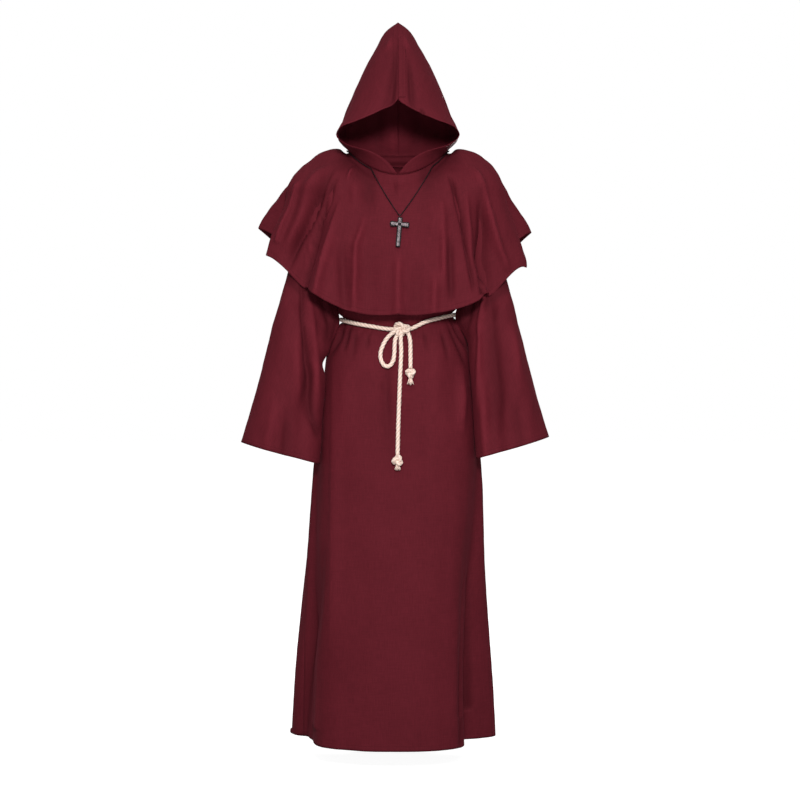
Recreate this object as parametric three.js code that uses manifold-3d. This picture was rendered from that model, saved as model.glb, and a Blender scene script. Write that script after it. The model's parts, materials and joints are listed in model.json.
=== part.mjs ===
// Friar costume: an ankle-length robe with wide sleeves, a short circular cape with a pointed hood,
// a rope belt tied at the front, and a plain cross on a cord.
// Millimetres, +Z up. The front faces -Y. "Left" and "right" are the wearer's, so left is +X.
// The origin is midway between the wearer's shoulders, at the height of the neck seam.

import * as THREE from 'three';
import { mergeVertices } from 'three/addons/utils/BufferGeometryUtils.js';
import Module from 'manifold-3d';

// ---- Driving dimensions ----

const CLOTH_WALL = 2;          // thickness of every cloth wall
const SEAM_GAP = 0.3;          // between neighbouring pieces
const LAID_ON = 0.4;           // clearance of what lies on the cloth

const HEM_Z = -1478;           // robe hem
const WAIST_Z = -420;          // line of the rope belt
const UNDERARM_Z = -235;
const SHOULDER_X = 190;        // end of the robe's shoulder seam
const SHOULDER_Z = -14;
const ARMHOLE_REACH = 58;      // half of the armhole's depth, front to back
const COLLAR_X = 96;           // inner end of the shoulder seam
const COLLAR_Z = 6;
const COLLAR_DIP_FRONT = 66;   // how far the robe's neckline drops at the front
const COLLAR_DIP_BACK = 14;
const COLLAR_REACH_FRONT = 74; // how far the neckline stands from the shoulder seam, front and back
const COLLAR_REACH_BACK = 62;

const KNOT_DROP = 16;          // the belt's knot draws its front down by this
const ROPE_DIAMETER = 10.5;
const ROPE_KNOT = { half_width: 23, half_depth: 11, half_height: 18, wrap_radius: 17 };
const LONG_TUFT_KNOT = { x: -1, z: -749, width: 27, height: 26, tuft: 9 };
const SHORT_TUFT_KNOT = { x: 31, z: -535, width: 23, height: 20, tuft: 17 };

const CORD_DIAMETER = 2.6;
const CROSS = { half_limb: 6, half_arms: 24, above: 18, below: 57, wall: 4.4 };

const CROWN_BAND_WIDTH = 18;   // seam allowance stitched down along the hood's crown
const CROWN_BAND_WALL = 1.2;

// The two sleeves are alike but for the reach of their cuffs.
const LEFT_CUFF = { out: -6, down: -9 };
const RIGHT_CUFF = { out: 10, down: 4 };

// ---- Section tables ----

// Robe, by height: half width, front and back reach from the axis, the axis's own offset, and how square it is.
const ROBE_SECTIONS = [
  { at: HEM_Z, half: 239, front: 178, back: 142, shift_x: -10, shift_y: 38, square: 2.6 },
  { at: -1120, half: 224, front: 158, back: 134, shift_x: -8, shift_y: 27, square: 2.6 },
  { at: -780, half: 205, front: 133, back: 125, shift_x: -2, shift_y: 13, square: 2.5 },
  { at: -600, half: 192, front: 118, back: 120, shift_x: 0, shift_y: 5, square: 2.4 },
  { at: -500, half: 180, front: 108, back: 114, shift_x: 0, shift_y: 1, square: 2.3 },
  { at: -452, half: 163, front: 99, back: 105, shift_x: 0, shift_y: 0, square: 2.2 },
  { at: WAIST_Z, half: 137, front: 89, back: 94, shift_x: 0, shift_y: 0, square: 2.2 },
  { at: -385, half: 153, front: 96, back: 102, shift_x: 0, shift_y: 0, square: 2.2 },
  { at: -320, half: 166, front: 99, back: 107, shift_x: 0, shift_y: 0, square: 2.3 },
  { at: UNDERARM_Z, half: 176, front: 98, back: 110, shift_x: 0, shift_y: 0, square: 2.4 },
];

// Skirt folds: where each one lies round the body in degrees from the front, how far it stands out at the hem,
// how wide it is on its two sides in degrees, and the height at which it begins.
const SKIRT_FOLDS = [
  { name: 'front corner right', turn: -40, out: -9, before: 16, after: 14, top: -560 },
  { name: 'side valley right', turn: -80, out: -34, before: 14, after: 20, top: -560 },
  { name: 'side lobe right', turn: -108, out: 46, before: 12, after: 20, top: -620 },
  { name: 'front corner left', turn: 46, out: -7, before: 14, after: 12, top: -560 },
  { name: 'side valley left', turn: 76, out: -64, before: 18, after: 9, top: -640 },
  { name: 'side lobe left', turn: 93, out: 24, before: 8, after: 20, top: -700 },
  { name: 'back valley left', turn: 132, out: -20, before: 13, after: 12, top: -560 },
  { name: 'back ridge left', turn: 156, out: 22, before: 12, after: 12, top: -500 },
  { name: 'back valley middle', turn: 180, out: -16, before: 12, after: 12, top: -640 },
  { name: 'back ridge right', turn: -158, out: 18, before: 12, after: 11, top: -540 },
  { name: 'back valley right', turn: -136, out: -18, before: 11, after: 10, top: -600 },
];

// Sleeve, from the armhole (0) to the cuff (1): its outer and inner edge seen from the front, its half depth,
// and how far ahead of the shoulder it hangs.
const SLEEVE_SECTIONS = [
  { at: 0, outer_x: 190, outer_z: SHOULDER_Z, inner_x: 177, inner_z: UNDERARM_Z, depth: ARMHOLE_REACH, ahead: 0 },
  { at: 0.08, outer_x: 215, outer_z: -34, inner_x: 180, inner_z: -252, depth: 57, ahead: 1 },
  { at: 0.2, outer_x: 235, outer_z: -88, inner_x: 176, inner_z: -292, depth: 56, ahead: 5 },
  { at: 0.36, outer_x: 252, outer_z: -182, inner_x: 167, inner_z: -352, depth: 50, ahead: 14 },
  { at: 0.52, outer_x: 272, outer_z: -286, inner_x: 152, inner_z: -418, depth: 46, ahead: 28 },
  { at: 0.57, outer_x: 281, outer_z: -326, inner_x: 160, inner_z: -448, depth: 44, ahead: 39 },
  { at: 0.62, outer_x: 291, outer_z: -368, inner_x: 172, inner_z: -482, depth: 53, ahead: 52 },
  { at: 0.72, outer_x: 312, outer_z: -450, inner_x: 180, inner_z: -540, depth: 59, ahead: 54 },
  { at: 0.84, outer_x: 340, outer_z: -560, inner_x: 188, inner_z: -630, depth: 62, ahead: 56 },
  { at: 1, outer_x: 382, outer_z: -714, inner_x: 197, inner_z: -768, depth: 66, ahead: 58 },
];

// Sleeve folds: turn in degrees from the outer edge, positive towards the front.
const SLEEVE_FOLDS = [
  { name: 'front crease', turn: 118, out: -13, before: 20, after: 16, top: 0.3 },
  { name: 'front ridge', turn: 62, out: 6, before: 26, after: 24, top: 0.3 },
  { name: 'back crease', turn: -100, out: -9, before: 22, after: 22, top: 0.35 },
  { name: 'outer ridge', turn: -20, out: 4, before: 24, after: 20, top: 0.2 },
];

// Cape, along the cloth from the neck seam (0) to the hem (1).
const CAPE_SECTIONS = [
  { at: 0, half: 122, side_z: 16, front: 85, front_z: -50, back: 80, back_z: 26, square: 2.0, rise: 2.0 },
  { at: 0.1, half: 154, side_z: 25, front: 98, front_z: -80, back: 98, back_z: 4, square: 2.0, rise: 2.2 },
  { at: 0.22, half: 192, side_z: 19, front: 109, front_z: -122, back: 112, back_z: -38, square: 2.1, rise: 2.4 },
  { at: 0.36, half: 242, side_z: -12, front: 118, front_z: -172, back: 125, back_z: -92, square: 2.3, rise: 2.6 },
  { at: 0.54, half: 262, side_z: -54, front: 125, front_z: -236, back: 134, back_z: -160, square: 2.4, rise: 2.8 },
  { at: 0.78, half: 296, side_z: -118, front: 132, front_z: -322, back: 143, back_z: -256, square: 2.5, rise: 3.0 },
  { at: 1, half: 320, side_z: -186, front: 138, front_z: -403, back: 150, back_z: -348, square: 2.6, rise: 3.1 },
];

// Cape folds: `sweep` is how far the fold wanders on its way down, `drop` how much lower the hem hangs there.
const CAPE_FOLDS = [
  { name: 'hem dip right', turn: -77, sweep: 0, out: 0, before: 5, after: 7, top: 0.5, drop: 22, sharp: 2 },
  { name: 'hem dip left', turn: 77, sweep: 0, out: 0, before: 7, after: 5, top: 0.5, drop: 30, sharp: 2 },
  { name: 'side lobe front right', turn: -80.5, sweep: -1, out: 24, before: 4.5, after: 3.6, top: 0.12, drop: 34, sharp: 1.3 },
  { name: 'side notch right', turn: -90, sweep: 0, out: -42, before: 3.2, after: 4, top: 0.26, drop: 26, sharp: 2 },
  { name: 'side lobe back right', turn: -96, sweep: -1.5, out: 50, before: 7, after: 4, top: 0.5, drop: -26, sharp: 1.3 },
  { name: 'chest valley right', turn: -60, sweep: -12, out: -34, before: 5, after: 6, top: 0.2, drop: 44, sharp: 2 },
  { name: 'chest ridge right', turn: -47, sweep: -11, out: 22, before: 5, after: 9, top: 0.16, drop: -10, sharp: 1.5 },
  { name: 'side lobe front left', turn: 80.5, sweep: 1, out: 14, before: 3.6, after: 4.5, top: 0.12, drop: 62, sharp: 1.3 },
  { name: 'side notch left', turn: 89.5, sweep: 0, out: -44, before: 4, after: 3.2, top: 0.26, drop: 36, sharp: 2 },
  { name: 'side lobe back left', turn: 95.5, sweep: 1.5, out: 30, before: 4, after: 7, top: 0.58, drop: -12, sharp: 1.3 },
  { name: 'chest valley left', turn: 58, sweep: 13, out: -34, before: 6, after: 5, top: 0.2, drop: 56, sharp: 2 },
  { name: 'chest ridge left', turn: 46, sweep: 12, out: 8, before: 9, after: 5, top: 0.16, drop: 8, sharp: 1.5 },
  { name: 'back valley left', turn: 128, sweep: 2, out: -22, before: 9, after: 8, top: 0.25, drop: 0, sharp: 2 },
  { name: 'back ridge left', turn: 150, sweep: 2, out: 18, before: 10, after: 10, top: 0.3, drop: 0, sharp: 1.6 },
  { name: 'back ridge right', turn: -146, sweep: -3, out: 20, before: 10, after: 9, top: 0.3, drop: 0, sharp: 1.6 },
  { name: 'back valley right', turn: -122, sweep: -3, out: -24, before: 8, after: 8, top: 0.25, drop: 0, sharp: 2 },
];

// Hood, from the neck seam (0) to the peak (1). Each section is half of a ring: it leaves the back seam, passes
// the side and ends at the front edge, or, above the face, at the crown seam.
const HOOD_SECTIONS = [
  { at: 0, back: 80, back_z: 26, half: 122, side_y: 0, side_z: 16, edge_x: 0, edge: -85, edge_z: -50 },
  { at: 0.05, back: 92, back_z: 42, half: 129, side_y: -10, side_z: 26, edge_x: 27, edge: -97, edge_z: -18 },
  { at: 0.1, back: 102, back_z: 58, half: 140, side_y: -22, side_z: 34, edge_x: 66, edge: -108, edge_z: 4 },
  { at: 0.16, back: 110, back_z: 78, half: 149, side_y: -34, side_z: 43, edge_x: 124, edge: -118, edge_z: 20 },
  { at: 0.22, back: 117, back_z: 98, half: 152, side_y: -44, side_z: 54, edge_x: 152, edge: -124, edge_z: 42 },
  { at: 0.29, back: 123, back_z: 122, half: 146, side_y: -44, side_z: 72, edge_x: 141, edge: -128, edge_z: 61 },
  { at: 0.37, back: 127, back_z: 150, half: 138, side_y: -38, side_z: 96, edge_x: 96, edge: -131, edge_z: 79 },
  { at: 0.45, back: 127, back_z: 178, half: 129, side_y: -30, side_z: 122, edge_x: 46, edge: -132, edge_z: 101 },
  { at: 0.53, back: 124, back_z: 206, half: 118, side_y: -22, side_z: 152, edge_x: 0, edge: -128, edge_z: 134 },
  { at: 0.66, back: 112, back_z: 248, half: 99, side_y: -8, side_z: 198, edge_x: 0, edge: -103, edge_z: 194 },
  { at: 0.79, back: 90, back_z: 290, half: 77, side_y: 4, side_z: 246, edge_x: 0, edge: -66, edge_z: 256 },
  { at: 0.9, back: 64, back_z: 325, half: 54, side_y: 12, side_z: 290, edge_x: 0, edge: -29, edge_z: 307 },
  { at: 0.96, back: 46, back_z: 341, half: 35, side_y: 18, side_z: 325, edge_x: 0, edge: -10, edge_z: 331 },
  { at: 1, back: 32, back_z: 350, half: 0, side_y: 22, side_z: 355, edge_x: 0, edge: 6, edge_z: 347 },
];

// ---- Reading the tables ----

// Slope of one column at row i, flattened where the column turns, so that a curve never overshoots its rows.
function slopeAt(rows, name, i) {
  const rise = (j) => (rows[j + 1][name] - rows[j][name]) / (rows[j + 1].at - rows[j].at);
  if (i === 0) return rise(0);
  if (i === rows.length - 1) return rise(i - 1);
  const before = rise(i - 1);
  const after = rise(i);
  return before * after > 0 ? (2 * before * after) / (before + after) : 0;
}

// One column's value at a place along the table.
function column(rows, name, at) {
  let i = 0;
  while (i < rows.length - 2 && rows[i + 1].at < at) i += 1;
  const span = rows[i + 1].at - rows[i].at;
  const t = THREE.MathUtils.clamp((at - rows[i].at) / span, 0, 1);
  const lift = t * t * (3 - 2 * t);
  const start = slopeAt(rows, name, i) * span * t * (1 - t) * (1 - t);
  const end = slopeAt(rows, name, i + 1) * span * t * t * (1 - t);
  return rows[i][name] * (1 - lift) + rows[i + 1][name] * lift + start - end;
}

function readRow(rows, at) {
  const names = Object.keys(rows[0]).filter((name) => name !== 'at');
  return Object.fromEntries(names.map((name) => [name, column(rows, name, at)]));
}

const degrees = THREE.MathUtils.radToDeg;
const radians = THREE.MathUtils.degToRad;
const lerp = THREE.MathUtils.lerp;

// How strongly a fold shows at a turn: 1 on its line, falling away on its two sides.
function bell(fold, turn, down) {
  const line = fold.turn + (fold.sweep ?? 0) * down;
  const off = THREE.MathUtils.euclideanModulo(turn - line + 180, 360) - 180;
  const width = off < 0 ? fold.before : fold.after;
  return Math.exp(-(Math.abs(off / width) ** (fold.sharp ?? 2)));
}

// Distance from the axis to a rounded rectangle, in the direction of a turn from the front.
function ringReach(turn, half, front, back, square) {
  const across = Math.abs(Math.sin(radians(turn)) / half) ** square;
  const along = Math.cos(radians(turn));
  const ahead = Math.abs(along / (along > 0 ? front : back)) ** square;
  return (across + ahead) ** (-1 / square);
}

// ---- The garment's surfaces: each gives the middle of the cloth ----

// Height of the rope's line above WAIST_Z: it runs straight from the knot up to the two hips.
const BELT_LINE = [
  { at: -180, rise: 20 },
  { at: -90, rise: 13 },
  { at: -45, rise: -6 },
  { at: -8, rise: -KNOT_DROP },
  { at: 14, rise: -KNOT_DROP },
  { at: 44, rise: 6 },
  { at: 90, rise: 25 },
  { at: 180, rise: 20 },
];

// How far the cloth is shifted up at a turn and height: fully at the rope, and not at the hem and underarms.
function beltRise(turn, z) {
  const near = 1 - THREE.MathUtils.smoothstep(Math.abs(z - WAIST_Z), 60, 180);
  return near * column(BELT_LINE, 'rise', THREE.MathUtils.euclideanModulo(turn + 180, 360) - 180);
}

// Robe below the underarms.
function robeRing(turn, z) {
  const row = readRow(ROBE_SECTIONS, z - beltRise(turn, z));
  let reach = ringReach(turn, row.half, row.front, row.back, row.square);
  for (const fold of SKIRT_FOLDS) {
    const down = THREE.MathUtils.smoothstep(fold.top - z, 0, fold.top - HEM_Z);
    reach += fold.out * down * bell(fold, turn, down);
  }
  const x = row.shift_x + reach * Math.sin(radians(turn));
  const y = row.shift_y - reach * Math.cos(radians(turn));
  return new THREE.Vector3(x, y, z);
}

// Upper edge of the robe: the neckline, then the shoulder seam. `share` runs across from -1 to 1.
function robeTopEdge(share, facing) {
  const x = share * SHOULDER_X;
  const beyond = (Math.abs(x) - COLLAR_X) / (SHOULDER_X - COLLAR_X);
  if (beyond >= 0) return new THREE.Vector3(x, 0, lerp(COLLAR_Z, SHOULDER_Z, beyond));
  const dip = Math.sqrt(1 - (x / COLLAR_X) ** 2);
  const reach = facing < 0 ? -COLLAR_REACH_FRONT : COLLAR_REACH_BACK;
  const drop = facing < 0 ? COLLAR_DIP_FRONT : COLLAR_DIP_BACK;
  return new THREE.Vector3(x, reach * dip, COLLAR_Z - drop * dip ** 1.4);
}

// A ring of the cloth as it is worn: level at the hem and the underarms, tilted with the rope at the waist.
function wornHeight(turn, z) {
  return z + beltRise(turn, z);
}

// The whole robe body: `level` 0 to 1 is hem to underarm, 1 to 2 is underarm to neckline and shoulder seam.
// Between the armholes the cloth arches over the chest; at the armhole it follows the sleeve's first ring.
// `facing` is -1 for the front and 1 for the back.
function robeSurface(facing, turn, level) {
  if (level <= 1) return robeRing(turn, wornHeight(turn, lerp(HEM_Z, UNDERARM_Z, level)));
  const start = robeRing(turn, UNDERARM_Z);
  const share = THREE.MathUtils.clamp(start.x / robeRing(90, UNDERARM_Z).x, -1, 1);
  const top = robeTopEdge(share, facing);
  const climb = Math.PI * (level - 1);
  const edge = THREE.MathUtils.smoothstep(Math.abs(share), 0.55, 1);
  const rise = lerp(Math.sin(climb / 2), (1 - Math.cos(climb)) / 2, edge);
  const arch = facing * ARMHOLE_REACH * Math.sin(climb) * edge;
  const y = lerp(top.y, start.y, Math.cos(climb / 2)) + arch;
  return new THREE.Vector3(lerp(start.x, top.x, rise), y, lerp(start.z, top.z, rise));
}

// Each sleeve stands off the hip over a stretch below the belt.
const LEFT_HIP = { out: 9, ahead: 3, z: -458, reach: 40 };
const RIGHT_HIP = { out: 12, ahead: 0, z: -520, reach: 22 };

// Sleeve: `turn` 0 is the outer edge, 90 the front.
function sleeveSurface(side, turn, share) {
  const row = readRow(SLEEVE_SECTIONS, share);
  const cuff = side > 0 ? LEFT_CUFF : RIGHT_CUFF;
  const down = cuff.down * share * share;
  const hip = side > 0 ? LEFT_HIP : RIGHT_HIP;
  const clear = Math.exp(-(((row.inner_z - hip.z) / hip.reach) ** 2));
  const y = -row.ahead - hip.ahead * clear;
  const inner = new THREE.Vector3(row.inner_x + hip.out * clear, y, row.inner_z - down);
  const outer = new THREE.Vector3(row.outer_x + cuff.out * share, y, row.outer_z - down);
  const centre = outer.clone().add(inner).multiplyScalar(0.5);
  const across = outer.clone().sub(inner);
  const half = across.length() / 2;
  across.normalize();
  let swell = 0;
  for (const fold of SLEEVE_FOLDS) {
    swell += fold.out * THREE.MathUtils.smoothstep(share, fold.top, 1) * bell(fold, turn, share);
  }
  const point = centre.addScaledVector(across, (half + swell) * Math.cos(radians(turn)));
  point.y -= (row.depth + swell) * Math.sin(radians(turn));
  point.x *= side;
  return point;
}

// Cape: `share` runs down the cloth from the neck seam to the hem.
function capeSurface(turn, share) {
  const row = readRow(CAPE_SECTIONS, share);
  const base = ringReach(turn, row.half, row.front, row.back, row.square);
  const rise = Math.min(1, (base * Math.abs(Math.sin(radians(turn)))) / row.half) ** row.rise;
  const centre_z = Math.cos(radians(turn)) > 0 ? row.front_z : row.back_z;
  let reach = base;
  let z = lerp(centre_z, row.side_z, rise);
  for (const fold of CAPE_FOLDS) {
    const down = THREE.MathUtils.smoothstep(share, fold.top, 1);
    const shape = bell(fold, turn, share);
    reach += fold.out * down * shape;
    z -= fold.drop * down * shape;
  }
  return new THREE.Vector3(reach * Math.sin(radians(turn)), -reach * Math.cos(radians(turn)), z);
}

// Hood: `across` runs round one half from the back seam (0) by the side (0.5) to the front (1).
const ROUND = 0.5523;          // handle length that makes a cubic curve a quarter circle
const HOOD_NECK = 0.1;         // share of the hood over which its own form takes over from the neck seam's

function hoodRing(across, row) {
  const back = new THREE.Vector3(0, row.back, row.back_z);
  const side = new THREE.Vector3(row.half, row.side_y, row.side_z);
  const front = new THREE.Vector3(row.edge_x, row.edge, row.edge_z);
  if (across <= 0.5) {
    const leave = back.clone().setX(row.half * ROUND);
    const arrive = side.clone().setY(lerp(row.side_y, row.back, ROUND));
    return new THREE.CubicBezierCurve3(back, leave, arrive, side).getPoint(across * 2);
  }
  const leave = side.clone().setY(lerp(row.side_y, row.edge, ROUND));
  const arrive = front.clone().setX(lerp(row.edge_x, row.half, ROUND));
  return new THREE.CubicBezierCurve3(side, leave, arrive, front).getPoint(across * 2 - 1);
}

// At the neck seam the hood takes the ring of the cape.
function hoodSurface(side, across, share) {
  const place = THREE.MathUtils.clamp(across, 0, 1);
  const point = hoodRing(place, readRow(HOOD_SECTIONS, share));
  const own = THREE.MathUtils.smoothstep(share, 0, HOOD_NECK);
  const seam = capeSurface(180 * (1 - across), 0).sub(hoodRing(place, HOOD_SECTIONS[0]));
  point.addScaledVector(seam, 1 - own);
  point.x *= side;
  return point;
}

// ---- Cloth walls ----

// A closed wall over a grid of the surface. `us` and `vs` are the grid's steps; `round` closes it along u.
// `gaps` draws the edges back from their seams: u0, u1, v0 and v1. `lean` may turn the wall at an edge.
function clothWall(surface, us, vs, { round = false, gaps = {}, lean = null, wall = CLOTH_WALL, lift = 0 }) {
  const nu = us.length;
  const nv = vs.length;
  const positions = [];
  const inner = [];
  const slope = (from, to) => to.clone().sub(from).normalize();
  const stepU = (us[1] - us[0]) * 0.01;
  const stepV = Math.sign(vs[nv - 1] - vs[0]) * 1e-3;
  const inside = (v) => THREE.MathUtils.clamp(v, Math.min(vs[0], vs[nv - 1]), Math.max(vs[0], vs[nv - 1]));
  for (let j = 0; j < nv; j += 1) {
    for (let i = 0; i < nu; i += 1) {
      const [u, v] = [us[i], vs[j]];
      const alongU = slope(surface(u - stepU, v), surface(u + stepU, v));
      const alongV = slope(surface(u, inside(v - stepV)), surface(u, inside(v + stepV)));
      const normal = alongU.clone().cross(alongV).normalize();
      const point = surface(u, v);
      if (i === 0) point.addScaledVector(alongU, gaps.u0 ?? 0);
      if (i === nu - 1) point.addScaledVector(alongU, -(gaps.u1 ?? 0));
      if (j === 0) point.addScaledVector(alongV, gaps.v0 ?? 0);
      if (j === nv - 1) point.addScaledVector(alongV, -(gaps.v1 ?? 0));
      if (lean) lean(normal, point, u, v);
      positions.push(point.clone().addScaledVector(normal, lift + wall / 2));
      inner.push(point.clone().addScaledVector(normal, lift - wall / 2));
    }
  }
  positions.push(...inner);
  const faces = [];
  const quad = (a, b, c, d) => faces.push(a, b, c, a, c, d);
  const at = (i, j) => j * nu + (i % nu);
  const under = nu * nv;
  for (let j = 0; j < nv - 1; j += 1) {
    for (let i = 0; i < (round ? nu : nu - 1); i += 1) {
      quad(at(i, j), at(i + 1, j), at(i + 1, j + 1), at(i, j + 1));
      quad(under + at(i, j), under + at(i, j + 1), under + at(i + 1, j + 1), under + at(i + 1, j));
    }
  }
  for (let i = 0; i < (round ? nu : nu - 1); i += 1) {
    quad(at(i + 1, 0), at(i, 0), under + at(i, 0), under + at(i + 1, 0));
    quad(at(i, nv - 1), at(i + 1, nv - 1), under + at(i + 1, nv - 1), under + at(i, nv - 1));
  }
  for (let j = 0; j < nv - 1 && !round; j += 1) {
    quad(at(0, j), at(0, j + 1), under + at(0, j + 1), under + at(0, j));
    quad(at(nu - 1, j + 1), at(nu - 1, j), under + at(nu - 1, j), under + at(nu - 1, j + 1));
  }
  const geometry = new THREE.BufferGeometry();
  geometry.setAttribute('position', new THREE.Float32BufferAttribute(positions.flatMap((p) => p.toArray()), 3));
  geometry.setIndex(faces);
  geometry.computeVertexNormals();
  return geometry;
}

function evenSteps(from, to, count) {
  return Array.from({ length: count + 1 }, (_, i) => lerp(from, to, i / count));
}

// Turns from one seam to the other, evenly spaced along an edge of the cloth, so that folds get more of them.
function turnsAlong(edge, from, to, count) {
  const fine = evenSteps(from, to, 400);
  const lengths = [0];
  for (let i = 1; i < fine.length; i += 1) {
    lengths.push(lengths[i - 1] + edge(fine[i]).distanceTo(edge(fine[i - 1])));
  }
  const total = lengths[lengths.length - 1];
  return evenSteps(0, 1, count).map((share) => {
    if (share === 1) return to;
    const i = lengths.findIndex((length) => length > share * total) - 1;
    const part = (share * total - lengths[i]) / (lengths[i + 1] - lengths[i]);
    return lerp(fine[i], fine[i + 1], part);
  });
}

// A place on a surface, lifted off the middle of the cloth along the surface's normal.
function liftedFrom(surface, u, v, lift) {
  const point = surface(u, v);
  const alongU = surface(u + 0.2, v).sub(surface(u - 0.2, v));
  const alongV = surface(u, v + 0.003).sub(surface(u, v - 0.003));
  return point.addScaledVector(alongU.cross(alongV).normalize(), lift);
}

// The cape's shares run down the cloth, which turns its normal inwards.
function onCape(turn, share, lift) {
  return liftedFrom(capeSurface, turn, share, -lift);
}

// ---- Materials ----

function clothMaterial() {
  return new THREE.MeshStandardMaterial({ color: 0x5e2029, roughness: 0.82, metalness: 0, side: THREE.DoubleSide });
}

function ropeMaterial() {
  return new THREE.MeshStandardMaterial({ color: 0xe6cfc0, roughness: 0.9, metalness: 0 });
}

function cordMaterial() {
  return new THREE.MeshStandardMaterial({ color: 0x241a1c, roughness: 0.7, metalness: 0 });
}

function crossMaterial() {
  return new THREE.MeshStandardMaterial({ color: 0x4d4a4e, roughness: 0.38, metalness: 0.9 });
}

function piece(name, geometry, material) {
  const mesh = new THREE.Mesh(geometry, material);
  mesh.name = name;
  return mesh;
}

// ---- Robe ----

const HALF_GAP = SEAM_GAP / 2;
const RING_HEIGHTS = [HEM_Z, -1290, -1110, -930, -770, -640, -545, -480, -440, WAIST_Z, -400, -340, UNDERARM_Z];
const ROBE_LEVELS = [...RING_HEIGHTS.map(levelOf), 1.3, 1.65, 2];

function levelOf(z) {
  return (z - HEM_Z) / (UNDERARM_Z - HEM_Z);
}

// At the armhole the wall's edge stands square to the sleeve's first ring.
function armholeLean(normal, point, turn, level) {
  if (level <= 1 || Math.abs(Math.cos(radians(turn))) > 1e-6) return;
  const middle_z = (SHOULDER_Z + UNDERARM_Z) / 2;
  normal.set(0, point.y, point.z - middle_z).normalize();
}

function robePanel(name, facing, from, to) {
  const turns = turnsAlong((turn) => robeRing(turn, HEM_Z), from, to, 26);
  const gaps = { u0: HALF_GAP, u1: HALF_GAP, v1: HALF_GAP };
  const surface = (turn, level) => robeSurface(facing, turn, level);
  return piece(name, clothWall(surface, turns, ROBE_LEVELS, { gaps, lean: armholeLean }), clothMaterial());
}

const ARMHOLE_CLEAR = CLOTH_WALL / 2 + SEAM_GAP;   // the body's side wall stands this far out at the underarm

function sleeve(name, side) {
  const count = 20;
  const turns = evenSteps(0, 360 * side, count).slice(0, count);
  const shares = [0, 0.08, 0.2, 0.36, 0.52, 0.57, 0.62, 0.68, 0.76, 1];
  const surface = (turn, share) => sleeveSurface(side, turn, share);
  const lean = (normal, point, turn, share) => {
    if (share > 0) return;
    point.x += side * ARMHOLE_CLEAR;
    normal.x = 0;
    normal.normalize();
  };
  return piece(name, clothWall(surface, turns, shares, { round: true, lean }), clothMaterial());
}

// ---- Cape and hood ----

const NECK_GAP = 1.4;            // at the neck seam, wider because its two rings have different steps
const CAPE_SHARES = [1, 0.88, 0.76, 0.64, 0.52, 0.4, 0.28, 0.16, 0.05, 0];
const HOOD_SHARES = [0, 0.05, 0.1, 0.16, 0.22, 0.29, 0.37, 0.45, 0.53, 0.66, 0.79, 0.9, 0.96, 1];

// Halfway between the cape's wall and the hood's, which meet at the neck seam.
function neckLean(normal, turn) {
  const upward = 0.8 * Math.abs(Math.sin(radians(turn)));
  normal.set(Math.sin(radians(turn)), -Math.cos(radians(turn)), upward).normalize();
}

function capePanel(name, from, to) {
  const turns = turnsAlong((turn) => capeSurface(turn, 1), from, to, 36);
  const gaps = { u0: HALF_GAP, u1: HALF_GAP, v1: NECK_GAP / 2 };
  const lean = (normal, point, turn, share) => {
    if (share === 0) neckLean(normal, turn);
  };
  return piece(name, clothWall(capeSurface, turns, CAPE_SHARES, { gaps, lean }), clothMaterial());
}

function hoodHalf(name, side) {
  const acrosses = side > 0 ? evenSteps(1, 0, 15) : evenSteps(0, 1, 15);
  const surface = (across, share) => hoodSurface(side, across, share);
  const lean = (normal, point, across, share) => {
    if (share === 0) neckLean(normal, side * 180 * (1 - across));
    if (Math.abs(point.x) > 1) return;
    point.x = side * HALF_GAP;
    normal.setX(0).normalize();
  };
  const gaps = { v0: NECK_GAP / 2 };
  return piece(name, clothWall(surface, acrosses, HOOD_SHARES, { gaps, lean }), clothMaterial());
}

// The stitched-down seam allowance on the left half, from the face edge most of the way up to the peak.
function hoodCrownBand() {
  const surface = (offset, share) => {
    const reach = hoodSurface(1, 1, share).distanceTo(hoodSurface(1, 0.99, share)) * 100;
    return hoodSurface(1, 1 - offset / reach, share);
  };
  const shares = [0.535, 0.6, 0.66, 0.72, 0.79, 0.85, 0.9];
  const offsets = evenSteps(2, 2 + CROWN_BAND_WIDTH, 2);
  const lift = CLOTH_WALL / 2 + LAID_ON + CROWN_BAND_WALL / 2;
  const geometry = clothWall(surface, offsets, shares, { wall: CROWN_BAND_WALL, lift });
  return piece('hood_crown_band', geometry, clothMaterial());
}

// ---- Round cords ----

function tube(points, diameter, sides, steps) {
  const shape = new THREE.Shape();
  shape.absarc(0, 0, diameter / 2, 0, Math.PI * 2);
  const section = new THREE.Shape(shape.getPoints(sides / 2).slice(0, -1));
  const extrudePath = new THREE.CatmullRomCurve3(points, false, 'centripetal');
  return new THREE.ExtrudeGeometry(section, { steps, extrudePath });
}

// A place on the front of the robe at a given x and height, lifted clear of the cloth.
function onRobeFront(x, z, lift) {
  let turn = 0;
  let point = robeRing(turn, z);
  for (let i = 0; i < 8; i += 1) {
    turn += degrees((x - point.x) / Math.abs(point.y));
    point = robeRing(turn, z);
  }
  point.y -= lift;
  return point;
}

// ---- Booleans ----

const wasm = await Module();
wasm.setup();

function toSolid(geometry) {
  const bare = geometry.clone();
  bare.deleteAttribute('normal');
  bare.deleteAttribute('uv');
  const merged = mergeVertices(bare, 1e-3);
  const vertProperties = new Float32Array(merged.attributes.position.array);
  const triVerts = new Uint32Array(merged.index.array);
  return new wasm.Manifold(new wasm.Mesh({ numProp: 3, vertProperties, triVerts }));
}

function fromSolid(solid) {
  const mesh = solid.getMesh();
  const geometry = new THREE.BufferGeometry();
  geometry.setAttribute('position', new THREE.BufferAttribute(mesh.vertProperties, 3));
  geometry.setIndex(new THREE.BufferAttribute(mesh.triVerts, 1));
  geometry.computeVertexNormals();
  return geometry;
}

// ---- Rope belt ----

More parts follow.
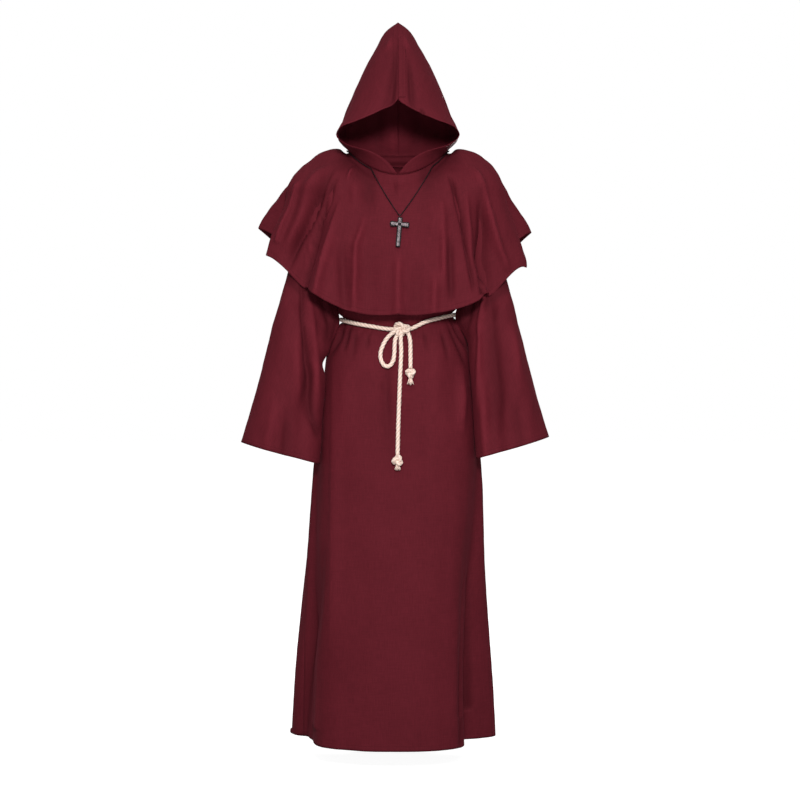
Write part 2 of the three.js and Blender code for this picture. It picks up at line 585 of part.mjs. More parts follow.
const ROPE_LIFT = CLOTH_WALL / 2 + LAID_ON + ROPE_DIAMETER / 2;
const KNOT = onRobeFront(9, WAIST_Z - KNOT_DROP, ROPE_LIFT + 10);

function knotBall(grow) {
  const ball = new THREE.SphereGeometry(1, 20, 12);
  ball.scale(ROPE_KNOT.half_width + grow, ROPE_KNOT.half_depth + grow, ROPE_KNOT.half_height + grow);
  ball.translate(KNOT.x, KNOT.y, KNOT.z);
  return toSolid(ball);
}

function knotWrap(grow) {
  const wrap = new THREE.TorusGeometry(ROPE_KNOT.wrap_radius, ROPE_DIAMETER / 2 + grow, 8, 20);
  wrap.scale(1, 1, 0.72);
  wrap.rotateY(Math.PI / 2);
  wrap.scale(1, 0.62, 1);
  wrap.rotateY(-0.35);
  wrap.translate(KNOT.x + 1, KNOT.y, KNOT.z);
  return toSolid(wrap);
}

function ropeKnot() {
  return piece('rope_knot', fromSolid(knotBall(0).add(knotWrap(0))), ropeMaterial());
}

// A rope that enters the knot, cut back to just clear of it.
function ropeFromKnot(name, points, steps) {
  const rope = toSolid(tube(points, ROPE_DIAMETER, 10, steps));
  const clear = knotBall(LAID_ON).add(knotWrap(LAID_ON));
  return piece(name, fromSolid(rope.subtract(clear)), ropeMaterial());
}

// Round the waist, from the knot's left side by the back to its right side.
function waistPath() {
  const waist = (turn, z) => robeRing(turn, wornHeight(turn, z));
  return evenSteps(12, 348, 40).map((turn) => liftedFrom(waist, turn, WAIST_Z, ROPE_LIFT + 1.5));
}

function ropeWaist() {
  const path = waistPath();
  const left = new THREE.Vector3(KNOT.x + 10, KNOT.y + 2, KNOT.z);
  const right = new THREE.Vector3(KNOT.x - 10, KNOT.y + 2, KNOT.z);
  return ropeFromKnot('rope_waist', [left, ...path, right], 72);
}

// Free stretches hang from the knot against the robe, standing `away` from it where they leave the knot.
function hangingPath(stations) {
  return stations.map(({ x, z, away }) => onRobeFront(x, z, ROPE_LIFT + 1 + away));
}

const BOW = [
  { x: 2, z: -432, away: 12 },
  { x: -12, z: -444, away: 10 },
  { x: -28, z: -460, away: 4 },
  { x: -41, z: -486, away: 0 },
  { x: -43, z: -508, away: 0 },
  { x: -35, z: -525, away: 0 },
  { x: -22, z: -528, away: 0 },
  { x: -12, z: -515, away: 0 },
  { x: -9, z: -495, away: 1 },
  { x: -8, z: -474, away: 3 },
  { x: -6, z: -460, away: 3 },
  { x: 0, z: -448, away: 1 },
];
const LONG_END = [
  { x: 8, z: -438, away: 8 },
  { x: 7, z: -462, away: 5 },
  { x: 8, z: -490, away: 1 },
  { x: 7, z: -520, away: 0 },
  { x: 5, z: -560, away: 0 },
  { x: 1, z: -670, away: 0 },
  { x: -1, z: -748, away: 0 },
];
const SHORT_END = [
  { x: 12, z: -436, away: 8 },
  { x: 25, z: -446, away: 6 },
  { x: 30, z: -464, away: 3 },
  { x: 31, z: -490, away: 0 },
  { x: 31, z: -534, away: 0 },
];

// An end knot with the frayed tuft below it, turned about the rope's own line.
function endKnot(name, { x, z, width, height, tuft }) {
  const r = width / 2;
  const profile = new THREE.Path();
  profile.moveTo(0, 0);
  profile.splineThru([
    new THREE.Vector2(r * 0.75, -height * 0.14),
    new THREE.Vector2(r, -height * 0.45),
    new THREE.Vector2(r * 0.62, -height * 0.86),
    new THREE.Vector2(r * 0.5, -height),
  ]);
  profile.lineTo(r * 0.72, -height - tuft);
  profile.lineTo(0, -height - tuft * 0.8);
  const knot = new THREE.LatheGeometry(profile.getPoints(3).reverse(), 12);
  knot.rotateX(Math.PI / 2);
  const place = onRobeFront(x, z, CLOTH_WALL / 2 + LAID_ON + r * 1.1);
  knot.translate(place.x, place.y, place.z);
  return piece(name, knot, ropeMaterial());
}

// ---- Necklace ----

const CORD_LIFT = CLOTH_WALL / 2 + LAID_ON + CORD_DIAMETER / 2;
const BAIL_LIFT = CLOTH_WALL / 2 + LAID_ON + 4.4;
const CROSS_TOP_SHARE = 0.317;
const CORD_NECK_SHARE = 0.03;
const CORD_NECK_LEFT = { x: 87, z: -29 };     // where the cord comes out from under the hood
const CORD_NECK_RIGHT = { x: -67, z: -36 };
const NECKLACE_TURN = 2.4;     // the cross hangs a little to the left of the middle

// The turn and share of the cape's front at a given place across and height.
function capeFrontPlace(x, z) {
  let low = 0;
  let high = 1;
  let turn = 0;
  for (let i = 0; i < 24; i += 1) {
    const share = (low + high) / 2;
    for (let j = 0; j < 6; j += 1) {
      const point = capeSurface(turn, share);
      turn += degrees((x - point.x) / Math.hypot(point.x, point.y));
    }
    if (capeSurface(turn, share).z > z) low = share;
    else high = share;
  }
  return { turn, share: (low + high) / 2 };
}

// From the cross's ring straight up to the neck, round it in the groove below the hood, and down again.
function necklacePath() {
  const bail = onCape(NECKLACE_TURN, CROSS_TOP_SHARE, 0);
  const climb = (side, neck) => evenSteps(0, 1, 12).map((t) => {
    const x = lerp(bail.x + side * 1.6, neck.x, t);
    const z = lerp(bail.z, neck.z, t) - 5 * Math.sin(Math.PI * t);
    const place = capeFrontPlace(x, z);
    const lift = lerp(BAIL_LIFT, CORD_LIFT + 1, THREE.MathUtils.smoothstep(t, 0, 0.2));
    return onCape(place.turn, place.share, lift);
  });
  const left = capeFrontPlace(CORD_NECK_LEFT.x, CORD_NECK_LEFT.z);
  const right = capeFrontPlace(CORD_NECK_RIGHT.x, CORD_NECK_RIGHT.z);
  const round = evenSteps(0, 1, 40).slice(1, -1).map((t) => {
    const settle = THREE.MathUtils.smoothstep(Math.min(t, 1 - t), 0, 0.12);
    const share = lerp(lerp(left.share, right.share, t), CORD_NECK_SHARE, settle);
    return onCape(lerp(left.turn, right.turn + 360, t), share, CORD_LIFT + 1);
  });
  return [...climb(1, CORD_NECK_LEFT), ...round, ...climb(-1, CORD_NECK_RIGHT).reverse()];
}

function necklaceCord() {
  return piece('necklace_cord', tube(necklacePath(), CORD_DIAMETER, 8, 80), cordMaterial());
}

function crossBail() {
  const ring = new THREE.TorusGeometry(3.2, 0.8, 6, 14);
  ring.rotateY(Math.PI / 2);
  const place = onCape(NECKLACE_TURN, CROSS_TOP_SHARE, BAIL_LIFT);
  ring.translate(place.x, place.y, place.z);
  return piece('cross_bail', ring, crossMaterial());
}

function cross() {
  const { half_limb: limb, half_arms: arm, above, below, wall } = CROSS;
  const shape = new THREE.Shape();
  const corners = [[limb, above], [-limb, above], [-limb, limb], [-arm, limb], [-arm, -limb], [-limb, -limb],
    [-limb, -below], [limb, -below], [limb, -limb], [arm, -limb], [arm, limb], [limb, limb]];
  corners.forEach(([x, y], i) => (i ? shape.lineTo(x, y) : shape.moveTo(x, y)));
  shape.closePath();
  const bevel = { bevelEnabled: true, bevelThickness: 1, bevelSize: 1, bevelOffset: -1, bevelSegments: 1 };
  const plate = new THREE.ExtrudeGeometry(shape, { depth: wall - 2, ...bevel });
  const top = onCape(1.5, CROSS_TOP_SHARE + 0.063, 0);
  const bottom = onCape(1, CROSS_TOP_SHARE + 0.273, 0);
  plate.rotateX(Math.PI / 2);
  plate.rotateX(-Math.atan2(top.y - bottom.y, top.z - bottom.z));
  plate.rotateY(0.085);
  plate.translate(4.4, top.y - 7.4, top.z + 0.5);
  return piece('cross', plate, crossMaterial());
}

// ---- The costume ----

const costume = new THREE.Group();
costume.name = 'friar_costume';
costume.add(robePanel('robe_front', -1, -90, 90));
costume.add(robePanel('robe_back', 1, 90, 270));
costume.add(sleeve('sleeve_left', 1));
costume.add(sleeve('sleeve_right', -1));
costume.add(capePanel('cape_front', -90, 90));
costume.add(capePanel('cape_back', 90, 270));
costume.add(hoodHalf('hood_left', 1));
costume.add(hoodHalf('hood_right', -1));
costume.add(hoodCrownBand());
costume.add(ropeWaist());
costume.add(ropeKnot());
costume.add(ropeFromKnot('rope_bow', hangingPath(BOW), 30));
costume.add(ropeFromKnot('rope_long_end', hangingPath(LONG_END), 26));
costume.add(endKnot('rope_long_knot', LONG_TUFT_KNOT));
costume.add(ropeFromKnot('rope_short_end', hangingPath(SHORT_END), 12));
costume.add(endKnot('rope_short_knot', SHORT_TUFT_KNOT));
costume.add(necklaceCord());
costume.add(crossBail());
costume.add(cross());

export default costume;
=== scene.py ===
"""Friar costume: a long robe with wide sleeves, a hooded cape, a rope belt and a cross on a cord."""
import json
import math

import bmesh
import bpy
from mathutils import Matrix, Vector, noise
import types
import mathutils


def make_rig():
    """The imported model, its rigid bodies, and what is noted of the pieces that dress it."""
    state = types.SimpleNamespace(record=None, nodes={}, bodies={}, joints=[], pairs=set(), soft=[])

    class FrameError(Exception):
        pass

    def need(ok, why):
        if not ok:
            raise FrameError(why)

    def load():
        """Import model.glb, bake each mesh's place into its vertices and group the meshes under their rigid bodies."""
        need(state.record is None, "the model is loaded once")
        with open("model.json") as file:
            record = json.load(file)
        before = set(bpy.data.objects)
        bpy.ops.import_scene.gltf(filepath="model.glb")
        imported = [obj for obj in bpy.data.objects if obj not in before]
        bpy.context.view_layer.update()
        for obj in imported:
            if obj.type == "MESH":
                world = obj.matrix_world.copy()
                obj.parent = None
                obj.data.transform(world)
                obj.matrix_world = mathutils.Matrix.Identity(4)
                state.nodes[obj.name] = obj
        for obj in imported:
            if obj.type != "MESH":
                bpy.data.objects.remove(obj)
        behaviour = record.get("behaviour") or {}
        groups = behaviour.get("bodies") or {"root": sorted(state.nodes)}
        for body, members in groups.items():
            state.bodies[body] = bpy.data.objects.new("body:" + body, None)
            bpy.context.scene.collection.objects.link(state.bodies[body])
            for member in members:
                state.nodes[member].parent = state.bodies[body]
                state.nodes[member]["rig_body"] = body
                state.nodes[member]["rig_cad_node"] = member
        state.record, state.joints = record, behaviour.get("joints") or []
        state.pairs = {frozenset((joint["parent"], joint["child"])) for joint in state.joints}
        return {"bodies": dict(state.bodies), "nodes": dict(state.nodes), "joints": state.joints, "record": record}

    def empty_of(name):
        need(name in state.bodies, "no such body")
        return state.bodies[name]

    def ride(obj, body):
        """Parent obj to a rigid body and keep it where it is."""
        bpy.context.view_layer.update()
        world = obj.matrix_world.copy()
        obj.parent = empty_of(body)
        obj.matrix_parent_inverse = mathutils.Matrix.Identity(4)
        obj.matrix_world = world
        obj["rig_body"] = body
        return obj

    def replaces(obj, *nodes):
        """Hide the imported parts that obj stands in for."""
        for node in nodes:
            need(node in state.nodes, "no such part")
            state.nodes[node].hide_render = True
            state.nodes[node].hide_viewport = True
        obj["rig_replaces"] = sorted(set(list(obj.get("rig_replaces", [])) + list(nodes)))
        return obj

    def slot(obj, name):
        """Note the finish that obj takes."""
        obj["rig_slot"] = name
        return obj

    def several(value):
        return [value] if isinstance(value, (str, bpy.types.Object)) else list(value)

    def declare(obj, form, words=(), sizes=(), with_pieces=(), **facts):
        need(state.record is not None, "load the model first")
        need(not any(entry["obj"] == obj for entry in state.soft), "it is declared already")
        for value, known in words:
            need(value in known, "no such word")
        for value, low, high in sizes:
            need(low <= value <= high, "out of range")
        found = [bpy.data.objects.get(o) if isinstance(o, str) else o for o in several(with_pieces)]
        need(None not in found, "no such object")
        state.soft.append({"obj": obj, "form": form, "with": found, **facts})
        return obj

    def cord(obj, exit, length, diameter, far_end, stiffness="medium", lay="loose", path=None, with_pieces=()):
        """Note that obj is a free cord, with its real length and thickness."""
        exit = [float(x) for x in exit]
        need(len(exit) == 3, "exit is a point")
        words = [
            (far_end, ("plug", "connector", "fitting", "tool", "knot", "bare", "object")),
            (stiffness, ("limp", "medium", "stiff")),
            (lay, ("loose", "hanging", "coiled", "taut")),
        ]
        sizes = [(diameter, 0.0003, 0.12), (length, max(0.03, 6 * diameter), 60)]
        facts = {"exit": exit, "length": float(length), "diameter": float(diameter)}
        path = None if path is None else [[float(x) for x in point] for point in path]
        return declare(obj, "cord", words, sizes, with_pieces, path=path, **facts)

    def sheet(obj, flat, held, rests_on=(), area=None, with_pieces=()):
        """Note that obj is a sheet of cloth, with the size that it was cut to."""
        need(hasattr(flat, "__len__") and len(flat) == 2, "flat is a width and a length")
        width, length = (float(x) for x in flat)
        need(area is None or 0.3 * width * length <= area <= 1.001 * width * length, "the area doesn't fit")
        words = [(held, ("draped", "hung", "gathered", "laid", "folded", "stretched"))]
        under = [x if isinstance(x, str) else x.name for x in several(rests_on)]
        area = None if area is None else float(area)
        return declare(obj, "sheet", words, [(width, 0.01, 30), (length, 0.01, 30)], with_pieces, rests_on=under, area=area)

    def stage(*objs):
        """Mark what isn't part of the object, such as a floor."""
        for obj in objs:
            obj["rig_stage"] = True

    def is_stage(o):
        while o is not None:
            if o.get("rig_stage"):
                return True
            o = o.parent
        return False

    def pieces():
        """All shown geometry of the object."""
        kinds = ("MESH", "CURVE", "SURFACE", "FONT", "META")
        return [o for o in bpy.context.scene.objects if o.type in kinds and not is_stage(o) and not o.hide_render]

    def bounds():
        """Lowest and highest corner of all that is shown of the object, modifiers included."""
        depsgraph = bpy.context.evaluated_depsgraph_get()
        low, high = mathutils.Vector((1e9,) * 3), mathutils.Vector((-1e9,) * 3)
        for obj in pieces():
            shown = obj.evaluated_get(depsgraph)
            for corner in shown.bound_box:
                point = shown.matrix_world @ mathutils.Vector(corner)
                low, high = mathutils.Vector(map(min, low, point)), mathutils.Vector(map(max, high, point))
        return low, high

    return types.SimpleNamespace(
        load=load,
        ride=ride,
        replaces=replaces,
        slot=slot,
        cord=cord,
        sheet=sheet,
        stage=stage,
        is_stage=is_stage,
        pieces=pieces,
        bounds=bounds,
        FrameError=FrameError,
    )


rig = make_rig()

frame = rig.load()
cad_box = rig.bounds()
scene = bpy.context.scene

MM = 0.001

# ---- Sizes, in millimetres. The front faces -Y; left and right are the wearer's, so left is +X ----

CLOTH_WALL = 2.0  # the part's wall, which the rope and cord lie on
CLOTH_THICKNESS = 1.5  # the wall that shows
BAND_THICKNESS = 1.2
LAID_ON = 0.4
HEM_Z = -1478
WAIST_Z = -420
UNDERARM_Z = -235
SHOULDER_X = 190
SHOULDER_Z = -14
ARMHOLE_REACH = 58
COLLAR_X = 96
COLLAR_Z = 6
COLLAR_DIP_FRONT = 66
COLLAR_DIP_BACK = 14
COLLAR_REACH_FRONT = 74
COLLAR_REACH_BACK = 62
KNOT_DROP = 16
ROPE_DIAMETER = 10.5
CORD_DIAMETER = 2.6
LEFT_CUFF = {"out": -6, "down": -9}
RIGHT_CUFF = {"out": 10, "down": 4}
LEFT_HIP = {"out": 9, "ahead": 3, "z": -458, "reach": 40}
RIGHT_HIP = {"out": 12, "ahead": 0, "z": -520, "reach": 22}
HOOD_NECK = 0.1  # the share of the hood's height that follows the cape's neck
ROUND = 0.5523  # how far along its handles a quarter ellipse's curve is pulled

# ---- Tables ----


def table(names, *rows):
    return [dict(zip(names.split(), row)) for row in rows]


ROBE_SECTIONS = table(
    "at half front back shift_x shift_y square",
    (HEM_Z, 239, 178, 142, -10, 38, 2.6),
    (-1120, 224, 158, 134, -8, 27, 2.6),
    (-780, 205, 133, 125, -2, 13, 2.5),
    (-600, 192, 118, 120, 0, 5, 2.4),
    (-500, 180, 108, 114, 0, 1, 2.3),
    (-452, 163, 99, 105, 0, 0, 2.2),
    (WAIST_Z, 137, 89, 94, 0, 0, 2.2),
    (-385, 153, 96, 102, 0, 0, 2.2),
    (-320, 166, 99, 107, 0, 0, 2.3),
    (UNDERARM_Z, 176, 98, 110, 0, 0, 2.4),
)
BELT_LINE = table(
    "at rise",
    (-180, 20), (-90, 13), (-45, -6), (-8, -KNOT_DROP), (14, -KNOT_DROP), (44, 6), (90, 25), (180, 20),
)
SKIRT_FOLDS = table(
    "turn out before after top",
    (-40, -9, 16, 14, -560),
    (-80, -34, 14, 20, -560),
    (-108, 46, 12, 20, -620),
    (46, -7, 14, 12, -560),
    (76, -64, 18, 9, -640),
    (93, 24, 8, 20, -700),
    (132, -20, 13, 12, -560),
    (156, 22, 12, 12, -500),
    (180, -16, 12, 12, -640),
    (-158, 18, 12, 11, -540),
    (-136, -18, 11, 10, -600),
)
SLEEVE_SECTIONS = table(
    "at outer_x outer_z inner_x inner_z depth ahead",
    (0, SHOULDER_X, SHOULDER_Z, 177, UNDERARM_Z, ARMHOLE_REACH, 0),
    (0.08, 215, -34, 180, -252, 57, 1),
    (0.2, 235, -88, 176, -292, 56, 5),
    (0.36, 252, -182, 167, -352, 50, 14),
    (0.52, 272, -286, 152, -418, 46, 28),
    (0.57, 281, -326, 160, -448, 44, 39),
    (0.62, 291, -368, 172, -482, 53, 52),
    (0.72, 312, -450, 180, -540, 59, 54),
    (0.84, 340, -560, 188, -630, 62, 56),
    (1, 382, -714, 197, -768, 66, 58),
)
SLEEVE_FOLDS = table(
    "turn out before after top",
    (118, -13, 20, 16, 0.3),
    (62, 6, 26, 24, 0.3),
    (-100, -9, 22, 22, 0.35),
    (-20, 4, 24, 20, 0.2),
)
CAPE_SECTIONS = table(
    "at half side_z front front_z back back_z square rise",
    (0, 122, 16, 85, -50, 80, 26, 2.0, 2.0),
    (0.1, 154, 25, 98, -80, 98, 4, 2.0, 2.2),
    (0.22, 192, 19, 109, -122, 112, -38, 2.1, 2.4),
    (0.36, 242, -12, 118, -172, 125, -92, 2.3, 2.6),
    (0.54, 262, -54, 125, -236, 134, -160, 2.4, 2.8),
    (0.78, 296, -118, 132, -322, 143, -256, 2.5, 3.0),
    (1, 320, -186, 138, -403, 150, -348, 2.6, 3.1),
)
CAPE_FOLDS = table(
    "turn sweep out before after top drop sharp",
    (-77, 0, 0, 5, 7, 0.5, 22, 2),
    (77, 0, 0, 7, 5, 0.5, 30, 2),
    (-80.5, -1, 24, 4.5, 3.6, 0.12, 34, 1.3),
    (-90, 0, -42, 3.2, 4, 0.26, 26, 2),
    (-96, -1.5, 50, 7, 4, 0.5, -26, 1.3),
    (-60, -12, -34, 5, 6, 0.2, 44, 2),
    (-47, -11, 22, 5, 9, 0.16, -10, 1.5),
    (80.5, 1, 14, 3.6, 4.5, 0.12, 62, 1.3),
    (89.5, 0, -44, 4, 3.2, 0.26, 36, 2),
    (95.5, 1.5, 30, 4, 7, 0.58, -12, 1.3),
    (58, 13, -34, 6, 5, 0.2, 56, 2),
    (46, 12, 8, 9, 5, 0.16, 8, 1.5),
    (128, 2, -22, 9, 8, 0.25, 0, 2),
    (150, 2, 18, 10, 10, 0.3, 0, 1.6),
    (-146, -3, 20, 10, 9, 0.3, 0, 1.6),
    (-122, -3, -24, 8, 8, 0.25, 0, 2),
)
# How far the cape's side edge stands out at each height, past its sections.
SHOULDER_FILL = table(
    "at out",
    (-200, -3), (-135, -5), (-105, 1), (-75, 13), (-50, 10), (-25, 1), (0, -5), (12, -2), (25, 3),
)
# The cape's hem in front of each sleeve: two places across it, its heights there, and how far down its
# shade falls.
CAPE_HEM_OVER_SLEEVE = {
    1: {"inner": 222, "outer": 275, "inner_z": -344, "outer_z": -309, "shade": 34},
    -1: {"inner": 245, "outer": 277, "inner_z": -324, "outer_z": -299, "shade": 24},
}
HOOD_SECTIONS = table(
    "at back back_z half side_y side_z edge_x edge edge_z",
    (0, 80, 26, 122, 0, 16, 0, -85, -50),
    (0.05, 92, 42, 129, -10, 26, 27, -97, -18),
    (0.1, 102, 58, 140, -22, 34, 66, -108, 4),
    (0.16, 110, 78, 149, -34, 43, 124, -118, 20),
    (0.22, 117, 98, 152, -44, 54, 152, -124, 42),
    (0.29, 123, 122, 146, -44, 72, 141, -128, 61),
    (0.37, 127, 150, 138, -38, 96, 96, -131, 79),
    (0.45, 127, 178, 129, -30, 122, 46, -132, 101),
    (0.53, 124, 206, 118, -22, 152, 0, -128, 134),
    (0.66, 112, 248, 99, -8, 198, 0, -103, 194),
    (0.79, 90, 290, 77, 4, 246, 0, -66, 256),
    (0.9, 64, 325, 54, 12, 290, 0, -29, 307),
    (0.96, 46, 341, 35, 18, 325, 0, -10, 331),
    (1, 32, 350, 0, 22, 355, 0, 6, 347),
)


def slope_at(rows, name, i):
    def rise(j):
        return (rows[j + 1][name] - rows[j][name]) / (rows[j + 1]["at"] - rows[j]["at"])

    if i == 0:
        return rise(0)
    if i == len(rows) - 1:
        return rise(i - 1)
    before, after = rise(i - 1), rise(i)
    return 2 * before * after / (before + after) if before * after > 0 else 0


def column(rows, name, at):
    i = 0
    while i < len(rows) - 2 and rows[i + 1]["at"] < at:
        i += 1
    span = rows[i + 1]["at"] - rows[i]["at"]
    t = min(1, max(0, (at - rows[i]["at"]) / span))
    lift = t * t * (3 - 2 * t)
    start = slope_at(rows, name, i) * span * t * (1 - t) * (1 - t)
    end = slope_at(rows, name, i + 1) * span * t * t * (1 - t)
    return rows[i][name] * (1 - lift) + rows[i + 1][name] * lift + start - end


def read_row(rows, at):
    return {name: column(rows, name, at) for name in rows[0] if name != "at"}


def mix(a, b, share):
    return a + (b - a) * share


def smooth(value, low, high):
    t = min(1, max(0, (value - low) / (high - low)))
    return t * t * (3 - 2 * t)


def bell(fold, turn, down):
    line = fold["turn"] + fold.get("sweep", 0) * down
    off = (turn - line + 180) % 360 - 180
    width = fold["before"] if off < 0 else fold["after"]
    return math.exp(-(abs(off / width) ** fold.get("sharp", 2)))


def ring_reach(turn, half, front, back, square):
    across = abs(math.sin(math.radians(turn)) / half) ** square
    along = math.cos(math.radians(turn))
    ahead = abs(along / (front if along > 0 else back)) ** square
    return (across + ahead) ** (-1 / square)


# ---- The garment's surfaces: each gives the middle of the cloth, in millimetres ----


def belt_rise(turn, z):
    """How far the cloth is shifted up with the rope: fully at the rope, and not at the hem and underarms."""
    near = 1 - smooth(abs(z - WAIST_Z), 60, 180)
    return near * column(BELT_LINE, "rise", (turn + 180) % 360 - 180)


def robe_ring(turn, z):
    row = read_row(ROBE_SECTIONS, z - belt_rise(turn, z))
    reach = ring_reach(turn, row["half"], row["front"], row["back"], row["square"])
    for fold in SKIRT_FOLDS:
        down = smooth(fold["top"] - z, 0, fold["top"] - HEM_Z)
        if down > 0:
            reach += fold["out"] * down * bell(fold, turn, down)
    x = row["shift_x"] + reach * math.sin(math.radians(turn))
    y = row["shift_y"] - reach * math.cos(math.radians(turn))
    return Vector((x, y, z))


def robe_top_edge(share, facing):
    x = share * SHOULDER_X
    beyond = (abs(x) - COLLAR_X) / (SHOULDER_X - COLLAR_X)
    if beyond >= 0:
        return Vector((x, 0, mix(COLLAR_Z, SHOULDER_Z, beyond)))
    dip = math.sqrt(1 - (x / COLLAR_X) ** 2)
    reach = -COLLAR_REACH_FRONT if facing < 0 else COLLAR_REACH_BACK
    drop = COLLAR_DIP_FRONT if facing < 0 else COLLAR_DIP_BACK
    return Vector((x, reach * dip, COLLAR_Z - drop * dip**1.4))


def worn_height(turn, z):
    return z + belt_rise(turn, z)


UNDERARM_HALF = robe_ring(90, UNDERARM_Z).x


def robe_surface(facing, turn, level):
    if level <= 1:
        return robe_ring(turn, worn_height(turn, mix(HEM_Z, UNDERARM_Z, level)))
    start = robe_ring(turn, UNDERARM_Z)
    share = min(1, max(-1, start.x / UNDERARM_HALF))
    top = robe_top_edge(share, facing)
    climb = math.pi * (level - 1)
    edge = smooth(abs(share), 0.55, 1)
    rise = mix(math.sin(climb / 2), (1 - math.cos(climb)) / 2, edge)
    arch = facing * ARMHOLE_REACH * math.sin(climb) * edge
    y = mix(top.y, start.y, math.cos(climb / 2)) + arch
    return Vector((mix(start.x, top.x, rise), y, mix(start.z, top.z, rise)))


def sleeve_surface(side, turn, share):
    row = read_row(SLEEVE_SECTIONS, share)
    cuff = LEFT_CUFF if side > 0 else RIGHT_CUFF
    down = cuff["down"] * share * share
    hip = LEFT_HIP if side > 0 else RIGHT_HIP
    clear = math.exp(-(((row["inner_z"] - hip["z"]) / hip["reach"]) ** 2))
    ahead = row["ahead"] + hip["ahead"] * clear
    outer = Vector((row["outer_x"] + cuff["out"] * share, -ahead, row["outer_z"] - down))
    inner = Vector((row["inner_x"] + hip["out"] * clear, -ahead, row["inner_z"] - down))
    across = outer - inner
    half = across.length / 2
    swell = sum(f["out"] * smooth(share, f["top"], 1) * bell(f, turn, share) for f in SLEEVE_FOLDS)
    point = (outer + inner) / 2 + across.normalized() * (half + swell) * math.cos(math.radians(turn))
    point.y -= (row["depth"] + swell) * math.sin(math.radians(turn))
    point.x *= side
    return point


def cape_surface(turn, share):
    row = read_row(CAPE_SECTIONS, share)
    base = ring_reach(turn, row["half"], row["front"], row["back"], row["square"])
    rise = min(1, base * abs(math.sin(math.radians(turn))) / row["half"]) ** row["rise"]
    centre_z = row["front_z"] if math.cos(math.radians(turn)) > 0 else row["back_z"]
    reach, z = base, mix(centre_z, row["side_z"], rise)
    for fold in CAPE_FOLDS:
        down = smooth(share, fold["top"], 1)
        if down > 0:
            shape = bell(fold, turn, share)
            reach += fold["out"] * down * shape
            z -= fold["drop"] * down * shape
    return Vector((reach * math.sin(math.radians(turn)), -reach * math.cos(math.radians(turn)), z))


def bezier(a, b, c, d, t):
    s = 1 - t
    return a * s**3 + b * 3 * s * s * t + c * 3 * s * t * t + d * t**3


def hood_ring(across, row):
    back = Vector((0, row["back"], row["back_z"]))
    side = Vector((row["half"], row["side_y"], row["side_z"]))
    front = Vector((row["edge_x"], row["edge"], row["edge_z"]))
    if across <= 0.5:
        leave = Vector((row["half"] * ROUND, back.y, back.z))
        arrive = Vector((side.x, mix(row["side_y"], row["back"], ROUND), side.z))
        return bezier(back, leave, arrive, side, across * 2)
    leave = Vector((side.x, mix(row["side_y"], row["edge"], ROUND), side.z))
    arrive = Vector((mix(row["edge_x"], row["half"], ROUND), front.y, front.z))
    return bezier(side, leave, arrive, front, across * 2 - 1)


def hood_surface(side, across, share):
    place = min(1, max(0, across))
    point = hood_ring(place, read_row(HOOD_SECTIONS, share))
    own = smooth(share, 0, HOOD_NECK)
    if own < 1:
        point += (cape_surface(180 * (1 - across), 0) - hood_ring(place, HOOD_SECTIONS[0])) * (1 - own)
    point.x *= side
    return point


# ---- Camera ----


def make_camera():
    """Level with the belt and straight ahead of the costume."""
    camera = bpy.data.objects.new("camera", bpy.data.cameras.new("camera"))
    camera.location = (0.0051, -4.0, -0.612)
    camera.rotation_euler = (math.radians(90), 0, 0)
    camera.data.sensor_width = 36
    camera.data.lens = 70.6
    scene.collection.objects.link(camera)
    scene.camera = camera


make_camera()

# ---- Shader nodes ----

# In metres of cloth, from its hem: the line of stitches, half of its groove at the bottom and at the top, and
# where the turned-in edge ends.
STITCH_LINE = 0.012
STITCH_GROOVE = (0.0005, 0.0022)
HEM_TURN = (0.0125, 0.0145)
WEAVE_SCALE = 250


def add_node(tree, kind, inputs=None, **settings):
    """A node with its settings, and its inputs set to values or joined to other nodes' outputs."""
    item = tree.nodes.new("ShaderNode" + kind)
    for name, value in settings.items():
        setattr(item, name, value)
    for name, value in (inputs or {}).items():
        if isinstance(value, bpy.types.NodeSocket):
            tree.links.new(value, item.inputs[name])
        else:
            item.inputs[name].default_value = value
    return item


def math_node(tree, operation, a, b=0.0):
    return add_node(tree, "Math", {0: a, 1: b}, operation=operation).outputs[0]


def ramp(tree, value, low, high, bottom=0.0, top=1.0):
    keys = {"Value": value, "From Min": low, "From Max": high, "To Min": bottom, "To Max": top}
    return add_node(tree, "MapRange", keys, interpolation_type="SMOOTHSTEP").outputs["Result"]


def start_group(name, inputs, outputs):
    tree = bpy.data.node_groups.new(name, "ShaderNodeTree")
    for label, kind, value in inputs:
        tree.interface.new_socket(label, in_out="INPUT", socket_type=kind).default_value = value
    for label, kind in outputs:
        tree.interface.new_socket(label, in_out="OUTPUT", socket_type=kind)
    return tree, tree.nodes.new("NodeGroupInput"), tree.nodes.new("NodeGroupOutput")


def noise_value(tree, coordinates, scale, detail=2.0, stretch=(1, 1, 1)):
    if stretch != (1, 1, 1):
        coordinates = add_node(tree, "Mapping", {"Vector": coordinates, "Scale": stretch}).outputs[0]
    return add_node(tree, "TexNoise", {"Vector": coordinates, "Scale": scale, "Detail": detail}).outputs[0]


def weighted_sum(tree, *parts):
    """The sum of some values, each times its weight."""
    total = None
    for value, weight in parts:
        term = math_node(tree, "MULTIPLY", value, weight)
        total = math_node(tree, "ADD", total, term) if total else term
    return total


def mix_colour(tree, share, a, b, **settings):
    mixed = add_node(tree, "Mix", {"Factor": share, "A": a, "B": b}, data_type="RGBA", **settings)
    return mixed.outputs["Result"]


